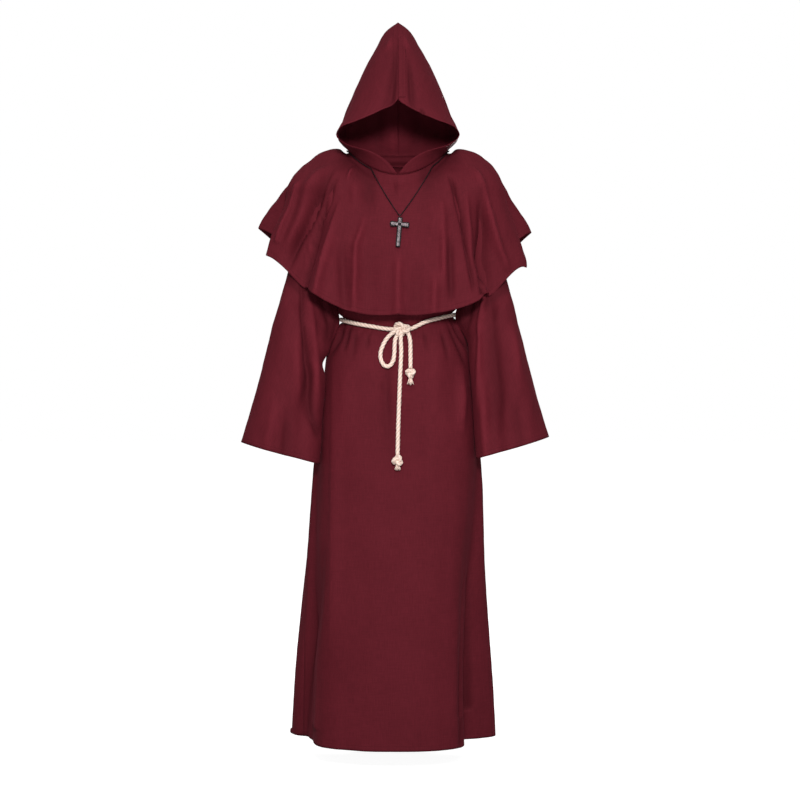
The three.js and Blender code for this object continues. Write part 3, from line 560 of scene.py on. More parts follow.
def build_weave_group():
    """Plain weave with uneven threads, in metres of the cloth's own map: its colour, with painted light and shade from
    the folds and from pieces lying close over it, and its height.
    """
    tree, given, result = start_group(
        "plain weave",
        [
            ("Cloth", "NodeSocketVector", (0, 0, 0)),
            ("Light Thread", "NodeSocketColor", (0.12, 0.02, 0.03, 1)),
            ("Dark Thread", "NodeSocketColor", (0.07, 0.01, 0.015, 1)),
            ("Hem Distance", "NodeSocketFloat", 1.0),
            ("Fold Depth", "NodeSocketFloat", 0.0),
            ("Stitch Line", "NodeSocketFloat", STITCH_LINE),
        ],
        [("Colour", "NodeSocketColor"), ("Height", "NodeSocketFloat")],
    )
    cloth, hem = given.outputs["Cloth"], given.outputs["Hem Distance"]
    wave = {"Vector": cloth, "Scale": WEAVE_SCALE, "Distortion": 0.6}
    warp, weft = (add_node(tree, "TexWave", wave, bands_direction=way).outputs["Fac"] for way in "XY")
    long_slub = noise_value(tree, cloth, 1, 3, (420, 36, 1))
    cross_slub = noise_value(tree, cloth, 1, 3, (30, 380, 1))
    clouds = noise_value(tree, cloth, 7, 3)
    threads = weighted_sum(tree, (warp, 0.5), (weft, 0.5))
    slubs = weighted_sum(tree, (long_slub, 0.55), (cross_slub, 0.45))
    tone = ramp(tree, weighted_sum(tree, (slubs, 1.25), (clouds, 0.55), (threads, 0.14)), 0.45, 1.5)
    off_stitches = math_node(tree, "ABSOLUTE", math_node(tree, "SUBTRACT", hem, given.outputs["Stitch Line"]))
    groove = ramp(tree, off_stitches, *STITCH_GROOVE, 1, 0)
    turned_in = ramp(tree, hem, *HEM_TURN, 1, 0)
    tone = weighted_sum(tree, (tone, 1), (groove, -0.22))
    colour = mix_colour(tree, tone, given.outputs["Dark Thread"], given.outputs["Light Thread"])
    # Painted light and shade: the colour is multiplied down in fold valleys and under pieces lying close over the
    # cloth, and up on fold ridges.
    shade = ramp(tree, given.outputs["Fold Depth"], -1, 0.8, 0.66, 1.1)
    colour = mix_colour(tree, 1.0, colour, shade, blend_type="MULTIPLY")
    height = weighted_sum(tree, (threads, 0.00012), (slubs, 0.00045), (turned_in, 0.0005), (groove, -0.0005))
    tree.links.new(colour, result.inputs["Colour"])
    tree.links.new(height, result.inputs["Height"])
    return tree


def build_fibre_group():
    """Twisted fibres: lighter on the strands' crowns, with painted shade in the grooves between them, mixed with
    uneven fibres and patches.
    """
    tree, given, result = start_group(
        "twisted fibre",
        [
            ("Strand", "NodeSocketVector", (0, 0, 0)),
            ("Crown", "NodeSocketFloat", 1.0),
            ("Light Fibre", "NodeSocketColor", (0.8, 0.7, 0.6, 1)),
            ("Dark Fibre", "NodeSocketColor", (0.4, 0.3, 0.25, 1)),
            ("Fibre Depth", "NodeSocketFloat", 0.0004),
        ],
        [("Colour", "NodeSocketColor"), ("Height", "NodeSocketFloat")],
    )
    fibres = noise_value(tree, given.outputs["Strand"], 1, 3, (14, 260, 1))
    patches = noise_value(tree, given.outputs["Strand"], 1, 2, (1, 40, 1))
    uneven = math_node(tree, "SUBTRACT", fibres, 0.5)
    # Painted shade: the grooves between the strands, where the crown is low, take the darker colour.
    tone = weighted_sum(tree, (given.outputs["Crown"], 0.85), (uneven, 0.5), (patches, 0.18))
    tone = ramp(tree, tone, 0.05, 1.0)
    colour = mix_colour(tree, tone, given.outputs["Dark Fibre"], given.outputs["Light Fibre"])
    tree.links.new(colour, result.inputs["Colour"])
    tree.links.new(math_node(tree, "MULTIPLY", fibres, given.outputs["Fibre Depth"]), result.inputs["Height"])
    return tree


WEAVE_WITH_PAINTED_SHADE = build_weave_group()
FIBRE_WITH_GROOVE_SHADE = build_fibre_group()


def start_material(name, shader_values):
    made = bpy.data.materials.new(name)
    made.use_nodes = True
    shader = made.node_tree.nodes["Principled BSDF"]
    for socket, value in shader_values.items():
        shader.inputs[socket].default_value = value
    return made, made.node_tree, shader


def patterned_material(name, shader_values, group, map_socket, attributes, values, bump_strength):
    """A material whose colour and bump come from a node group, laid on the piece's own map and attributes."""
    made, tree, shader = start_material(name, shader_values)
    inputs = dict(values)
    inputs[map_socket] = add_node(tree, "UVMap", uv_map="cloth").outputs[0]
    for socket, attribute in attributes.items():
        inputs[socket] = add_node(tree, "Attribute", attribute_name=attribute).outputs["Fac"]
    pattern = add_node(tree, "Group", inputs, node_tree=group)
    relief = {"Strength": bump_strength, "Distance": 1.0, "Height": pattern.outputs["Height"]}
    bump = add_node(tree, "Bump", relief)
    tree.links.new(pattern.outputs["Colour"], shader.inputs["Base Color"])
    tree.links.new(bump.outputs[0], shader.inputs["Normal"])
    return made


def cloth_material(name, light, dark):
    shader_values = {
        "Roughness": 0.8,
        "Specular IOR Level": 0.06,
        "Sheen Weight": 0.05,
        "Sheen Roughness": 0.4,
        "Sheen Tint": (0.9, 0.12, 0.2, 1),
    }
    # The second attribute carries the painted light and shade from the folds and from pieces lying over the cloth.
    attributes = {"Hem Distance": "hem_distance", "Fold Depth": "fold_depth"}
    values = {"Light Thread": (*light, 1), "Dark Thread": (*dark, 1), "Stitch Line": STITCH_LINE}
    return patterned_material(name, shader_values, WEAVE_WITH_PAINTED_SHADE, "Cloth", attributes, values, 0.55)


def fibre_material(name, light, dark, depth, roughness, sheen):
    shader_values = {
        "Roughness": roughness,
        "Specular IOR Level": 0.15,
        "Sheen Weight": sheen,
        "Sheen Roughness": 0.5,
    }
    values = {"Light Fibre": (*light, 1), "Dark Fibre": (*dark, 1), "Fibre Depth": depth}
    return patterned_material(name, shader_values, FIBRE_WITH_GROOVE_SHADE, "Strand", {"Crown": "crown"}, values, 0.6)


def metal_material(name, light, dark, roughness):
    """Cast gunmetal, a little mottled and pitted."""
    made, tree, shader = start_material(name, {"Metallic": 0.75, "Specular IOR Level": 0.5})
    place = add_node(tree, "TexCoord").outputs["Object"]
    blotches = noise_value(tree, place, 260, 4)
    pits = noise_value(tree, place, 1400, 2)
    colour = mix_colour(tree, ramp(tree, blotches, 0.3, 0.7), (*dark, 1), (*light, 1))
    worn = ramp(tree, blotches, 0.25, 0.75, roughness + 0.12, roughness - 0.06)
    tree.links.new(colour, shader.inputs["Base Color"])
    tree.links.new(worn, shader.inputs["Roughness"])
    bump = add_node(tree, "Bump", {"Strength": 0.3, "Distance": 0.0004, "Height": pits})
    tree.links.new(bump.outputs[0], shader.inputs["Normal"])
    return made


RED_CLOTH = cloth_material("dark red cloth", (0.116, 0.0118, 0.0196), (0.076, 0.0074, 0.0124))
# Each fibre material's second colour is its darker fibres and also the painted shade in the grooves between the
# strands.
ROPE_COTTON = fibre_material("cream rope cotton", (0.83, 0.64, 0.55), (0.52, 0.39, 0.31), 0.0009, 0.88, 0.25)
BLACK_CORD = fibre_material("black cord", (0.014, 0.004, 0.006), (0.003, 0.001, 0.0015), 0.0002, 0.7, 0.0)
GUNMETAL_RIM = metal_material("gunmetal rim", (0.010, 0.009, 0.010), (0.004, 0.003, 0.004), 0.6)
GUNMETAL_FACE = metal_material("gunmetal face", (0.115, 0.095, 0.10), (0.06, 0.05, 0.052), 0.5)

# ---- Cloth ----


def even_steps(low, high, count):
    return [mix(low, high, i / count) for i in range(count + 1)]


def running_lengths(points):
    """How far each point is from the first, along the line that they make."""
    lengths = [0.0]
    for a, b in zip(points, points[1:]):
        lengths.append(lengths[-1] + (b - a).length)
    return lengths


def steps_along(edge, low, high, count):
    """Steps from low to high, evenly spaced along a line, so that a fold gets as many as flat cloth."""
    fine = even_steps(low, high, 500)
    lengths = running_lengths([edge(value) for value in fine])
    steps, i = [], 0
    for k in range(count):
        wanted = lengths[-1] * k / count
        while lengths[i + 1] < wanted:
            i += 1
        steps.append(mix(fine[i], fine[i + 1], (wanted - lengths[i]) / (lengths[i + 1] - lengths[i])))
    return steps + [high]


def finish_piece(name, bm, materials, slot, node):
    """A smooth-shaded object at the origin, fixed to the root, in place of one node of the part."""
    mesh = bpy.data.meshes.new(name)
    bm.to_mesh(mesh)
    bm.free()
    for polygon in mesh.polygons:
        polygon.use_smooth = True
    for made in materials:
        mesh.materials.append(made)
    piece = bpy.data.objects.new(name, mesh)
    scene.collection.objects.link(piece)
    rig.ride(piece, "root")
    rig.slot(piece, slot)
    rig.replaces(piece, node)
    return piece


def cloth_bmesh(surface, us, vs, hem):
    """A grid laid on a surface, with its map in metres of cloth and each point's distance from its hem.
    `hem` says which edge of the grid is hemmed."""
    bm = bmesh.new()
    edge = bm.verts.layers.float.new("hem_distance")
    # Painted light and shade for the cloth's colour, set later by the folds and by pieces lying over it.
    bm.verts.layers.float.new("fold_depth")
    uv = bm.loops.layers.uv.new("cloth")
    count_u, count_v = len(us) - 1, len(vs) - 1
    bmesh.ops.create_grid(bm, x_segments=count_u, y_segments=count_v, size=0.5)
    grid = {}
    for vert in bm.verts:
        key = (round((vert.co.x + 0.5) * count_u), round((vert.co.y + 0.5) * count_v))
        grid[key] = vert
    for (i, j), vert in grid.items():
        vert.co = surface(us[i], vs[j])
    across, along = {}, {}
    middle = count_u // 2
    for j in range(count_v + 1):
        across[(middle, j)] = 0.0
        for i in range(middle, count_u):
            across[(i + 1, j)] = across[(i, j)] + (grid[(i + 1, j)].co - grid[(i, j)].co).length
        for i in range(middle, 0, -1):
            across[(i - 1, j)] = across[(i, j)] - (grid[(i - 1, j)].co - grid[(i, j)].co).length
    for i in range(count_u + 1):
        along[(i, 0)] = 0.0
        for j in range(count_v):
            along[(i, j + 1)] = along[(i, j)] + (grid[(i, j + 1)].co - grid[(i, j)].co).length
    key_of = {vert: key for key, vert in grid.items()}
    for (i, j), vert in grid.items():
        from_hem = {
            "first_row": along[(i, j)],
            "last_row": along[(i, count_v)] - along[(i, j)],
            "first_column": across[(i, j)] - across[(0, j)],
            "last_column": across[(count_u, j)] - across[(i, j)],
        }
        vert[edge] = from_hem[hem] * MM
    for face in bm.faces:
        for loop in face.loops:
            key = key_of[loop.vert]
            loop[uv].uv = (across[key] * MM, along[key] * MM)
    return bm


# For each way that cloth can face: that direction, and the axis that runs across it.
FACINGS = {
    "front": (Vector((0, -1, 0)), 0),
    "back": (Vector((0, 1, 0)), 0),
    "left": (Vector((1, 0, 0)), 1),
    "right": (Vector((-1, 0, 0)), 1),
}
FACES_AWAY, FACES_FULLY = 0.02, 0.35
FOLD_ENDS = 3.2  # in widths from the fold's line
FULL_PAINTED_SHADE = 3.2  # how far a fold stands out, before its garment's depth, when the light painted on it (outward) and the shade painted in it (inward) are strongest
NARROW_FOLD = 9  # a fold wider than this gets less painted light and shade, since it shades itself


def fold(facing, *rows, sharp=2.0, shade=None):
    """A fold's line: for each height, its place across, how far it stands out, and its two sides' widths.
    `facing` says which way the folded cloth looks; on the sides, the place across is front to back.
    `shade` is how far a broad fold's painted light and shade follow its depth, where that is more than its width
    gives."""
    heights = sorted(table("at across out before after", *rows), key=lambda row: row["at"])
    return {"facing": facing, "sharp": sharp, "shade": shade, "rows": heights}


def fold_push(item, co, normal):
    """How far a fold pushes the cloth out at a point, and how much of that is painted into the cloth's colour, as
    light on ridges and shade in valleys.
    """
    rows = item["rows"]
    direction, axis = FACINGS[item["facing"]]
    if not rows[0]["at"] < co.z < rows[-1]["at"] or normal.dot(direction) < FACES_AWAY:
        return 0.0, 0.0
    off = co[axis] - column(rows, "across", co.z)
    width = column(rows, "before" if off < 0 else "after", co.z)
    if abs(off) > FOLD_ENDS * width:
        return 0.0, 0.0
    seen = smooth(normal.dot(direction), FACES_AWAY, FACES_FULLY)
    shape = math.exp(-(abs(off / width) ** item["sharp"])) * seen
    push = column(rows, "out", co.z) * shape
    return push, push * (item["shade"] or min(1, NARROW_FOLD / width) ** 2)


def lay_folds(bm, folds, extra, depth=1.0):
    """Moves the cloth along its normal by its folds, `depth` times as far as they say, and by a rule."""
    bm.normal_update()
    fold_depth = bm.verts.layers.float["fold_depth"]
    moves = []
    for vert in bm.verts:
        pushes = [fold_push(item, vert.co, vert.normal) for item in folds]
        # Painted light on the folds' ridges and painted shade in their valleys, kept per point for the cloth's colour.
        tone = sum(part for _, part in pushes) / FULL_PAINTED_SHADE
        vert[fold_depth] = max(-1, min(1, tone))
        moves.append(sum(push for push, _ in pushes) * depth + extra(vert.co, vert.normal))
    for vert, push in zip(bm.verts, moves):
        vert.co += vert.normal * push


def darken(bm, shadow):
    """Paints more shade into the cloth's colour, by a rule, where another piece lies close over it."""
    fold_depth = bm.verts.layers.float["fold_depth"]
    for vert in bm.verts:
        vert[fold_depth] = max(-1, vert[fold_depth] - shadow(vert.co, vert.normal))


def drift(x, y, z, size, tall=1.0, seed=0.0):
    """Slow, even waves between -1 and 1: `size` across and `tall` times that in height."""
    return noise.noise(Vector((x / size + seed, y / size - seed, z / (size * tall) + seed)))


def finish_cloth(name, bm, flat, area, held, rests_on, closed=False, thickness=CLOTH_THICKNESS):
    """Cloth of its real thickness, in place of the node of its name, with its whole cut in metres."""
    if closed:
        bmesh.ops.remove_doubles(bm, verts=bm.verts, dist=0.001)
    bmesh.ops.scale(bm, vec=(MM, MM, MM), verts=bm.verts)
    piece = finish_piece(name + "_cloth", bm, [RED_CLOTH], "cloth", name)
    wall = piece.modifiers.new("wall", "SOLIDIFY")
    wall.thickness = thickness * MM
    wall.offset = 0
    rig.sheet(piece, flat=flat, area=area, held=held, rests_on=rests_on)


# ---- Robe ----

ROBE_DEPTH = 2.4  # the robe's cloth moves this many times as far as its folds say

ROBE_FOLDS = [
    # front, below the belt
    fold("front", (-470, -158, 0, 8, 20), (-700, -160, 2.5, 9, 22), (-1000, -162, 3, 8, 20),
         (-1250, -164, 0, 8, 20)),
    fold("front", (-960, -186, 0, 16, 14), (-1120, -204, -4, 16, 14), (-1300, -226, -6, 15, 12),
         (-1480, -243, -6, 15, 12)),
    fold("front", (-500, -128, 0, 18, 22), (-600, -131, 3, 18, 22), (-745, -134, 0, 18, 22)),
    fold("front", (-520, -24, 0, 15, 12), (-600, -29, -3.5, 15, 12), (-700, -25, -2, 16, 14),
         (-800, -22, 0, 16, 14)),
    fold("front", (-440, 92, 0, 22, 26), (-530, 95, 3.5, 24, 28), (-660, 96, 0, 24, 28)),
    fold("front", (-520, 158, 0, 12, 8), (-610, 161, 5, 13, 8), (-705, 160, 0, 12, 8)),
    fold("front", (-1200, 156, 0, 5, 9), (-1340, 157, -3, 4, 9), (-1475, 158, -5, 4, 10), sharp=1.4),
    fold("front", (-900, 168, 0, 20, 12), (-1150, 172, -4, 20, 12), (-1400, 176, -5, 18, 12)),
    fold("front", (-1180, -207, 0, 5, 10), (-1300, -209, 2.5, 5, 10), (-1440, -210, 3, 5, 10), sharp=1.4),
    # gathers drawn up by the rope
    fold("front", (-414, -132, 0, 5, 8), (-446, -146, -5, 4, 9), (-510, -174, 0, 5, 9), sharp=1.5),
    fold("front", (-418, -118, 0, 4, 6), (-446, -126, -3.5, 4, 6), (-500, -138, 0, 5, 6), sharp=1.5),
    fold("front", (-402, 130, 0, 8, 5), (-436, 150, -5, 8, 4), (-490, 178, 0, 8, 5), sharp=1.5),
    fold("front", (-408, 116, 0, 6, 4), (-470, 150, -4, 7, 4), (-540, 176, 0, 8, 5), sharp=1.5),
    fold("front", (-440, -103, 0, 5, 6), (-462, -108, -2, 5, 7), (-520, -116, 0, 6, 9)),
    fold("front", (-442, -72, 0, 4, 5), (-458, -75, -1.6, 4, 6), (-495, -80, 0, 5, 8)),
    fold("front", (-440, 64, 0, 5, 5), (-456, 67, -1.8, 5, 5), (-500, 73, 0, 7, 7)),
    fold("front", (-438, 108, 0, 6, 5), (-462, 115, -2.2, 6, 5), (-530, 128, 0, 9, 7)),
    # sides
    fold("right", (-560, 6, 0, 16, 20), (-800, 10, 4, 18, 22), (-1300, 26, 3, 18, 24),
         (-1478, 34, 2, 18, 24)),
    fold("right", (-600, 60, 0, 16, 16), (-900, 74, -5, 16, 18), (-1470, 108, -6, 18, 20)),
    fold("left", (-520, 2, 0, 18, 16), (-820, 8, 4, 18, 18), (-1200, 12, 0, 20, 18)),
    fold("left", (-560, 52, 0, 16, 16), (-860, 66, -5, 16, 18), (-1470, 96, -5, 18, 22)),
    fold("left", (-700, 110, 0, 16, 16), (-1000, 124, 4, 16, 18), (-1470, 148, 4, 18, 20)),
    # back, below the belt
    fold("back", (-415, -118, 0, 8, 8), (-470, -124, -4, 9, 9), (-640, -136, -3, 14, 12),
         (-820, -146, 0, 16, 14)),
    fold("back", (-412, -84, 0, 7, 7), (-460, -87, 3, 8, 8), (-700, -94, 4, 16, 14), (-980, -104, 0, 20, 18)),
    fold("back", (-412, -52, 0, 6, 7), (-450, -53, -4, 7, 8), (-620, -58, -4, 12, 13),
         (-1100, -66, -5, 18, 18), (-1470, -74, -6, 18, 20)),
    fold("back", (-412, -18, 0, 7, 6), (-470, -17, 3, 8, 8), (-560, -16, 0, 10, 10)),
    fold("back", (-412, 14, 0, 6, 6), (-455, 15, -4.5, 7, 7), (-760, 18, -3, 14, 13), (-1150, 20, 0, 18, 18)),
    fold("back", (-412, 48, 0, 7, 7), (-500, 50, 3.5, 9, 9), (-900, 60, 4, 18, 16), (-1470, 70, 3, 20, 20)),
    fold("back", (-412, 86, 0, 6, 7), (-450, 89, -4, 7, 8), (-700, 99, -4, 14, 14), (-1000, 108, 0, 18, 16)),
    fold("back", (-415, 122, 0, 8, 8), (-500, 130, 3, 9, 9), (-760, 144, 0, 14, 14)),
]


def robe_waist_puff(co, normal):
    """The rope draws the cloth in; it swells just above and below, in small uneven gathers."""
    turn = math.degrees(math.atan2(co.x, -co.y))
    off = co.z - WAIST_Z - belt_rise(turn, co.z)
    drawn_in = math.exp(-((off / 7) ** 2))
    beside_rope = math.exp(-(((abs(off) - 21) / 12) ** 2))
    near_rope = math.exp(-((off / 46) ** 2))
    gather = drift(turn, 0, 0, 9, seed=3.1) + 0.6 * drift(turn, 0, 0, 4.3, seed=7.7)
    push = -1.2 * drawn_in + beside_rope * (2.6 + 2.2 * gather) + 1.7 * gather * near_rope * (1 - drawn_in)
    at_hip = smooth(abs(turn), 62, 84) * smooth(-abs(turn), -112, -96)
    push += 4 * at_hip * math.exp(-(((off - 26) / 13) ** 2))
    under_knot = co.y < 0 and -52 < co.x < 44
    push *= 0.35 if under_knot else 1.0
    beside_bow = smooth(abs(co.x + 4) + (60 if co.y > 0 else 0), 30, 80)
    waves = 1.9 * drift(co.x, co.y, co.z, 46, 9, 1.7) + 1.1 * drift(co.x, co.y, co.z, 23, 7, 5.3)
    ripples = 0.5 * drift(co.x, co.y, co.z, 24, 1.2, 9.1)
    low = smooth(-co.z, 420, 620)
    return push + (waves * (0.45 + 0.55 * low) + ripples) * mix(0.3, 1, beside_bow)


def robe_panel(name, facing, low, high, flat, area):
    turns = steps_along(lambda turn: robe_ring(turn, HEM_Z), low, high, 140)
    levels = even_steps(0, 1, 205) + even_steps(1, 2, 26)[1:]
    bm = cloth_bmesh(lambda turn, level: robe_surface(facing, turn, level), turns, levels, "first_row")
    lay_folds(bm, ROBE_FOLDS, robe_waist_puff, ROBE_DEPTH)
    finish_cloth(name, bm, flat, area, "hung", ["sleeve_left", "sleeve_right"])


SLEEVE_DEPTH = 2.6
SLEEVE_CREASES = {
    1: [
        fold("front", (-330, 226, 0, 8, 12), (-412, 232, -4, 12, 18), (-512, 238, -5, 14, 20),
             (-600, 245, -5, 16, 20), (-670, 240, -2, 16, 18), (-720, 240, 0, 16, 14), shade=0.4),
        fold("front", (-330, 221, 0, 5, 6), (-360, 215, 3, 5, 6), (-412, 207, 4.5, 5, 6),
             (-512, 202, 4.5, 5, 7), (-590, 201, 2.5, 6, 7), (-650, 200, 0, 6, 7)),
        fold("front", (-420, 284, 0, 12, 16), (-490, 293, 3.5, 12, 16), (-600, 306, 0, 14, 18)),
        fold("front", (-290, 192, 0, 14, 10), (-350, 184, -4, 24, 10), (-400, 176, -4, 24, 10),
             (-430, 172, -2, 18, 8), (-470, 178, 0, 12, 8), shade=1.0),
        fold("front", (-600, 286, 0, 14, 12), (-680, 296, -2.5, 14, 12), (-745, 304, -2, 14, 12)),
        fold("front", (-500, 205, 0, 8, 8), (-640, 213, 3, 9, 9), (-760, 218, 2, 9, 9)),
        fold("left", (-260, -6, 0, 12, 12), (-420, -14, -4, 12, 12), (-600, -26, 0, 14, 14)),
        fold("left", (-480, 8, 0, 14, 12), (-600, 0, 3, 14, 12), (-735, -10, 2, 16, 14)),
        fold("back", (-260, 232, 0, 12, 12), (-400, 246, -5, 13, 13), (-560, 264, 0, 16, 14)),
        fold("back", (-440, 214, 0, 10, 12), (-600, 226, 4, 12, 14), (-750, 240, 2, 14, 16)),
        fold("back", (-560, 286, 0, 12, 12), (-680, 306, -4, 14, 12), (-742, 316, -2, 14, 12)),
    ],
    -1: [
        fold("front", (-300, -243, 0, 5, 5), (-330, -242, -3, 5, 5), (-412, -237, -4, 5, 5),
             (-462, -232, -5, 5, 6), (-512, -227, -6, 6, 7), (-560, -222, -6.5, 8, 8),
             (-612, -224, -6, 14, 9), (-645, -219, -5, 13, 9), (-687, -202, -3, 10, 9),
             (-712, -196, 0, 9, 9), sharp=1.8),
        fold("front", (-290, -192, 0, 10, 14), (-345, -188, -4, 16, 26), (-385, -178, -5, 14, 26),
             (-425, -168, -3.5, 11, 22), (-480, -176, 0, 10, 14), shade=1.0),
        fold("front", (-430, -252, 0, 12, 9), (-530, -250, 3.5, 12, 9), (-640, -246, 0, 14, 10)),
        fold("front", (-600, -300, 0, 14, 14), (-690, -316, 3, 14, 14), (-752, -326, 2, 14, 14)),
        fold("front", (-620, -272, 0, 10, 12), (-700, -276, -3, 11, 12), (-760, -280, -2, 12, 12)),
        fold("front", (-330, -226, 0, 6, 6), (-400, -216, 3, 6, 7), (-500, -206, 3.5, 7, 8),
             (-580, -202, 2, 8, 8), (-640, -198, 0, 8, 8)),
        fold("right", (-250, -4, 0, 12, 12), (-380, -10, -4, 12, 12), (-560, -24, 0, 14, 14)),
        fold("right", (-500, 10, 0, 12, 14), (-640, 2, 3, 12, 14), (-750, -6, 2, 14, 16)),
        fold("back", (-280, -236, 0, 12, 12), (-420, -250, -5, 14, 12), (-600, -272, 0, 16, 14)),
        fold("back", (-460, -214, 0, 12, 10), (-620, -228, 4, 14, 12), (-760, -244, 2, 16, 14)),
        fold("back", (-540, -292, 0, 12, 14), (-690, -318, -4, 12, 14), (-756, -328, -2, 14, 14)),
    ],
}


def sleeve(name, side):
    turns = even_steps(180 * side, 540 * side, 112)
    shares = even_steps(0, 1, 126)
    bm = cloth_bmesh(lambda turn, share: sleeve_surface(side, turn, share), turns, shares, "last_row")
    hem = CAPE_HEM_OVER_SLEEVE[side]

    def limp(co, normal):
        waves = 2.2 * drift(co.x, co.y, co.z, 40, 4, 2.9 * side) + 1.0 * drift(co.x, co.y, co.z, 20, 2.4, 6.1)
        at_waist = math.exp(-(((co.z + 392) / 42) ** 2)) * smooth(-side * normal.x, 0.5, 0.95)
        rest_in = (9 if side > 0 else 4.5) * at_waist
        free = smooth(-co.z, 120, 420) * (1 - at_waist)
        return waves * free + 0.45 * drift(co.x, co.y, co.z, 17, 1, 4.4) + rest_in

    # Painted shadow of the cape's hem: the sleeve's colour is darkened just below where the hem lies over it.
    def cape_shadow(co, normal):
        along = (co.x * side - hem["inner"]) / (hem["outer"] - hem["inner"])
        below = mix(hem["inner_z"], hem["outer_z"], along) - co.z
        near_hem = smooth(below, -14, 0) * (1 - smooth(below, 0.6 * hem["shade"], 1.3 * hem["shade"]))
        return 0.9 * near_hem * smooth(-normal.y, 0, 0.5)

    lay_folds(bm, SLEEVE_CREASES[side], limp, SLEEVE_DEPTH)
    darken(bm, cape_shadow)
    finish_cloth(name, bm, (0.54, 0.64), 0.27, "hung", ["robe_front", "robe_back"], closed=True)


# ---- Cape and hood ----

CAPE_DEPTH = 4.4
HOOD_DEPTH = 1.8

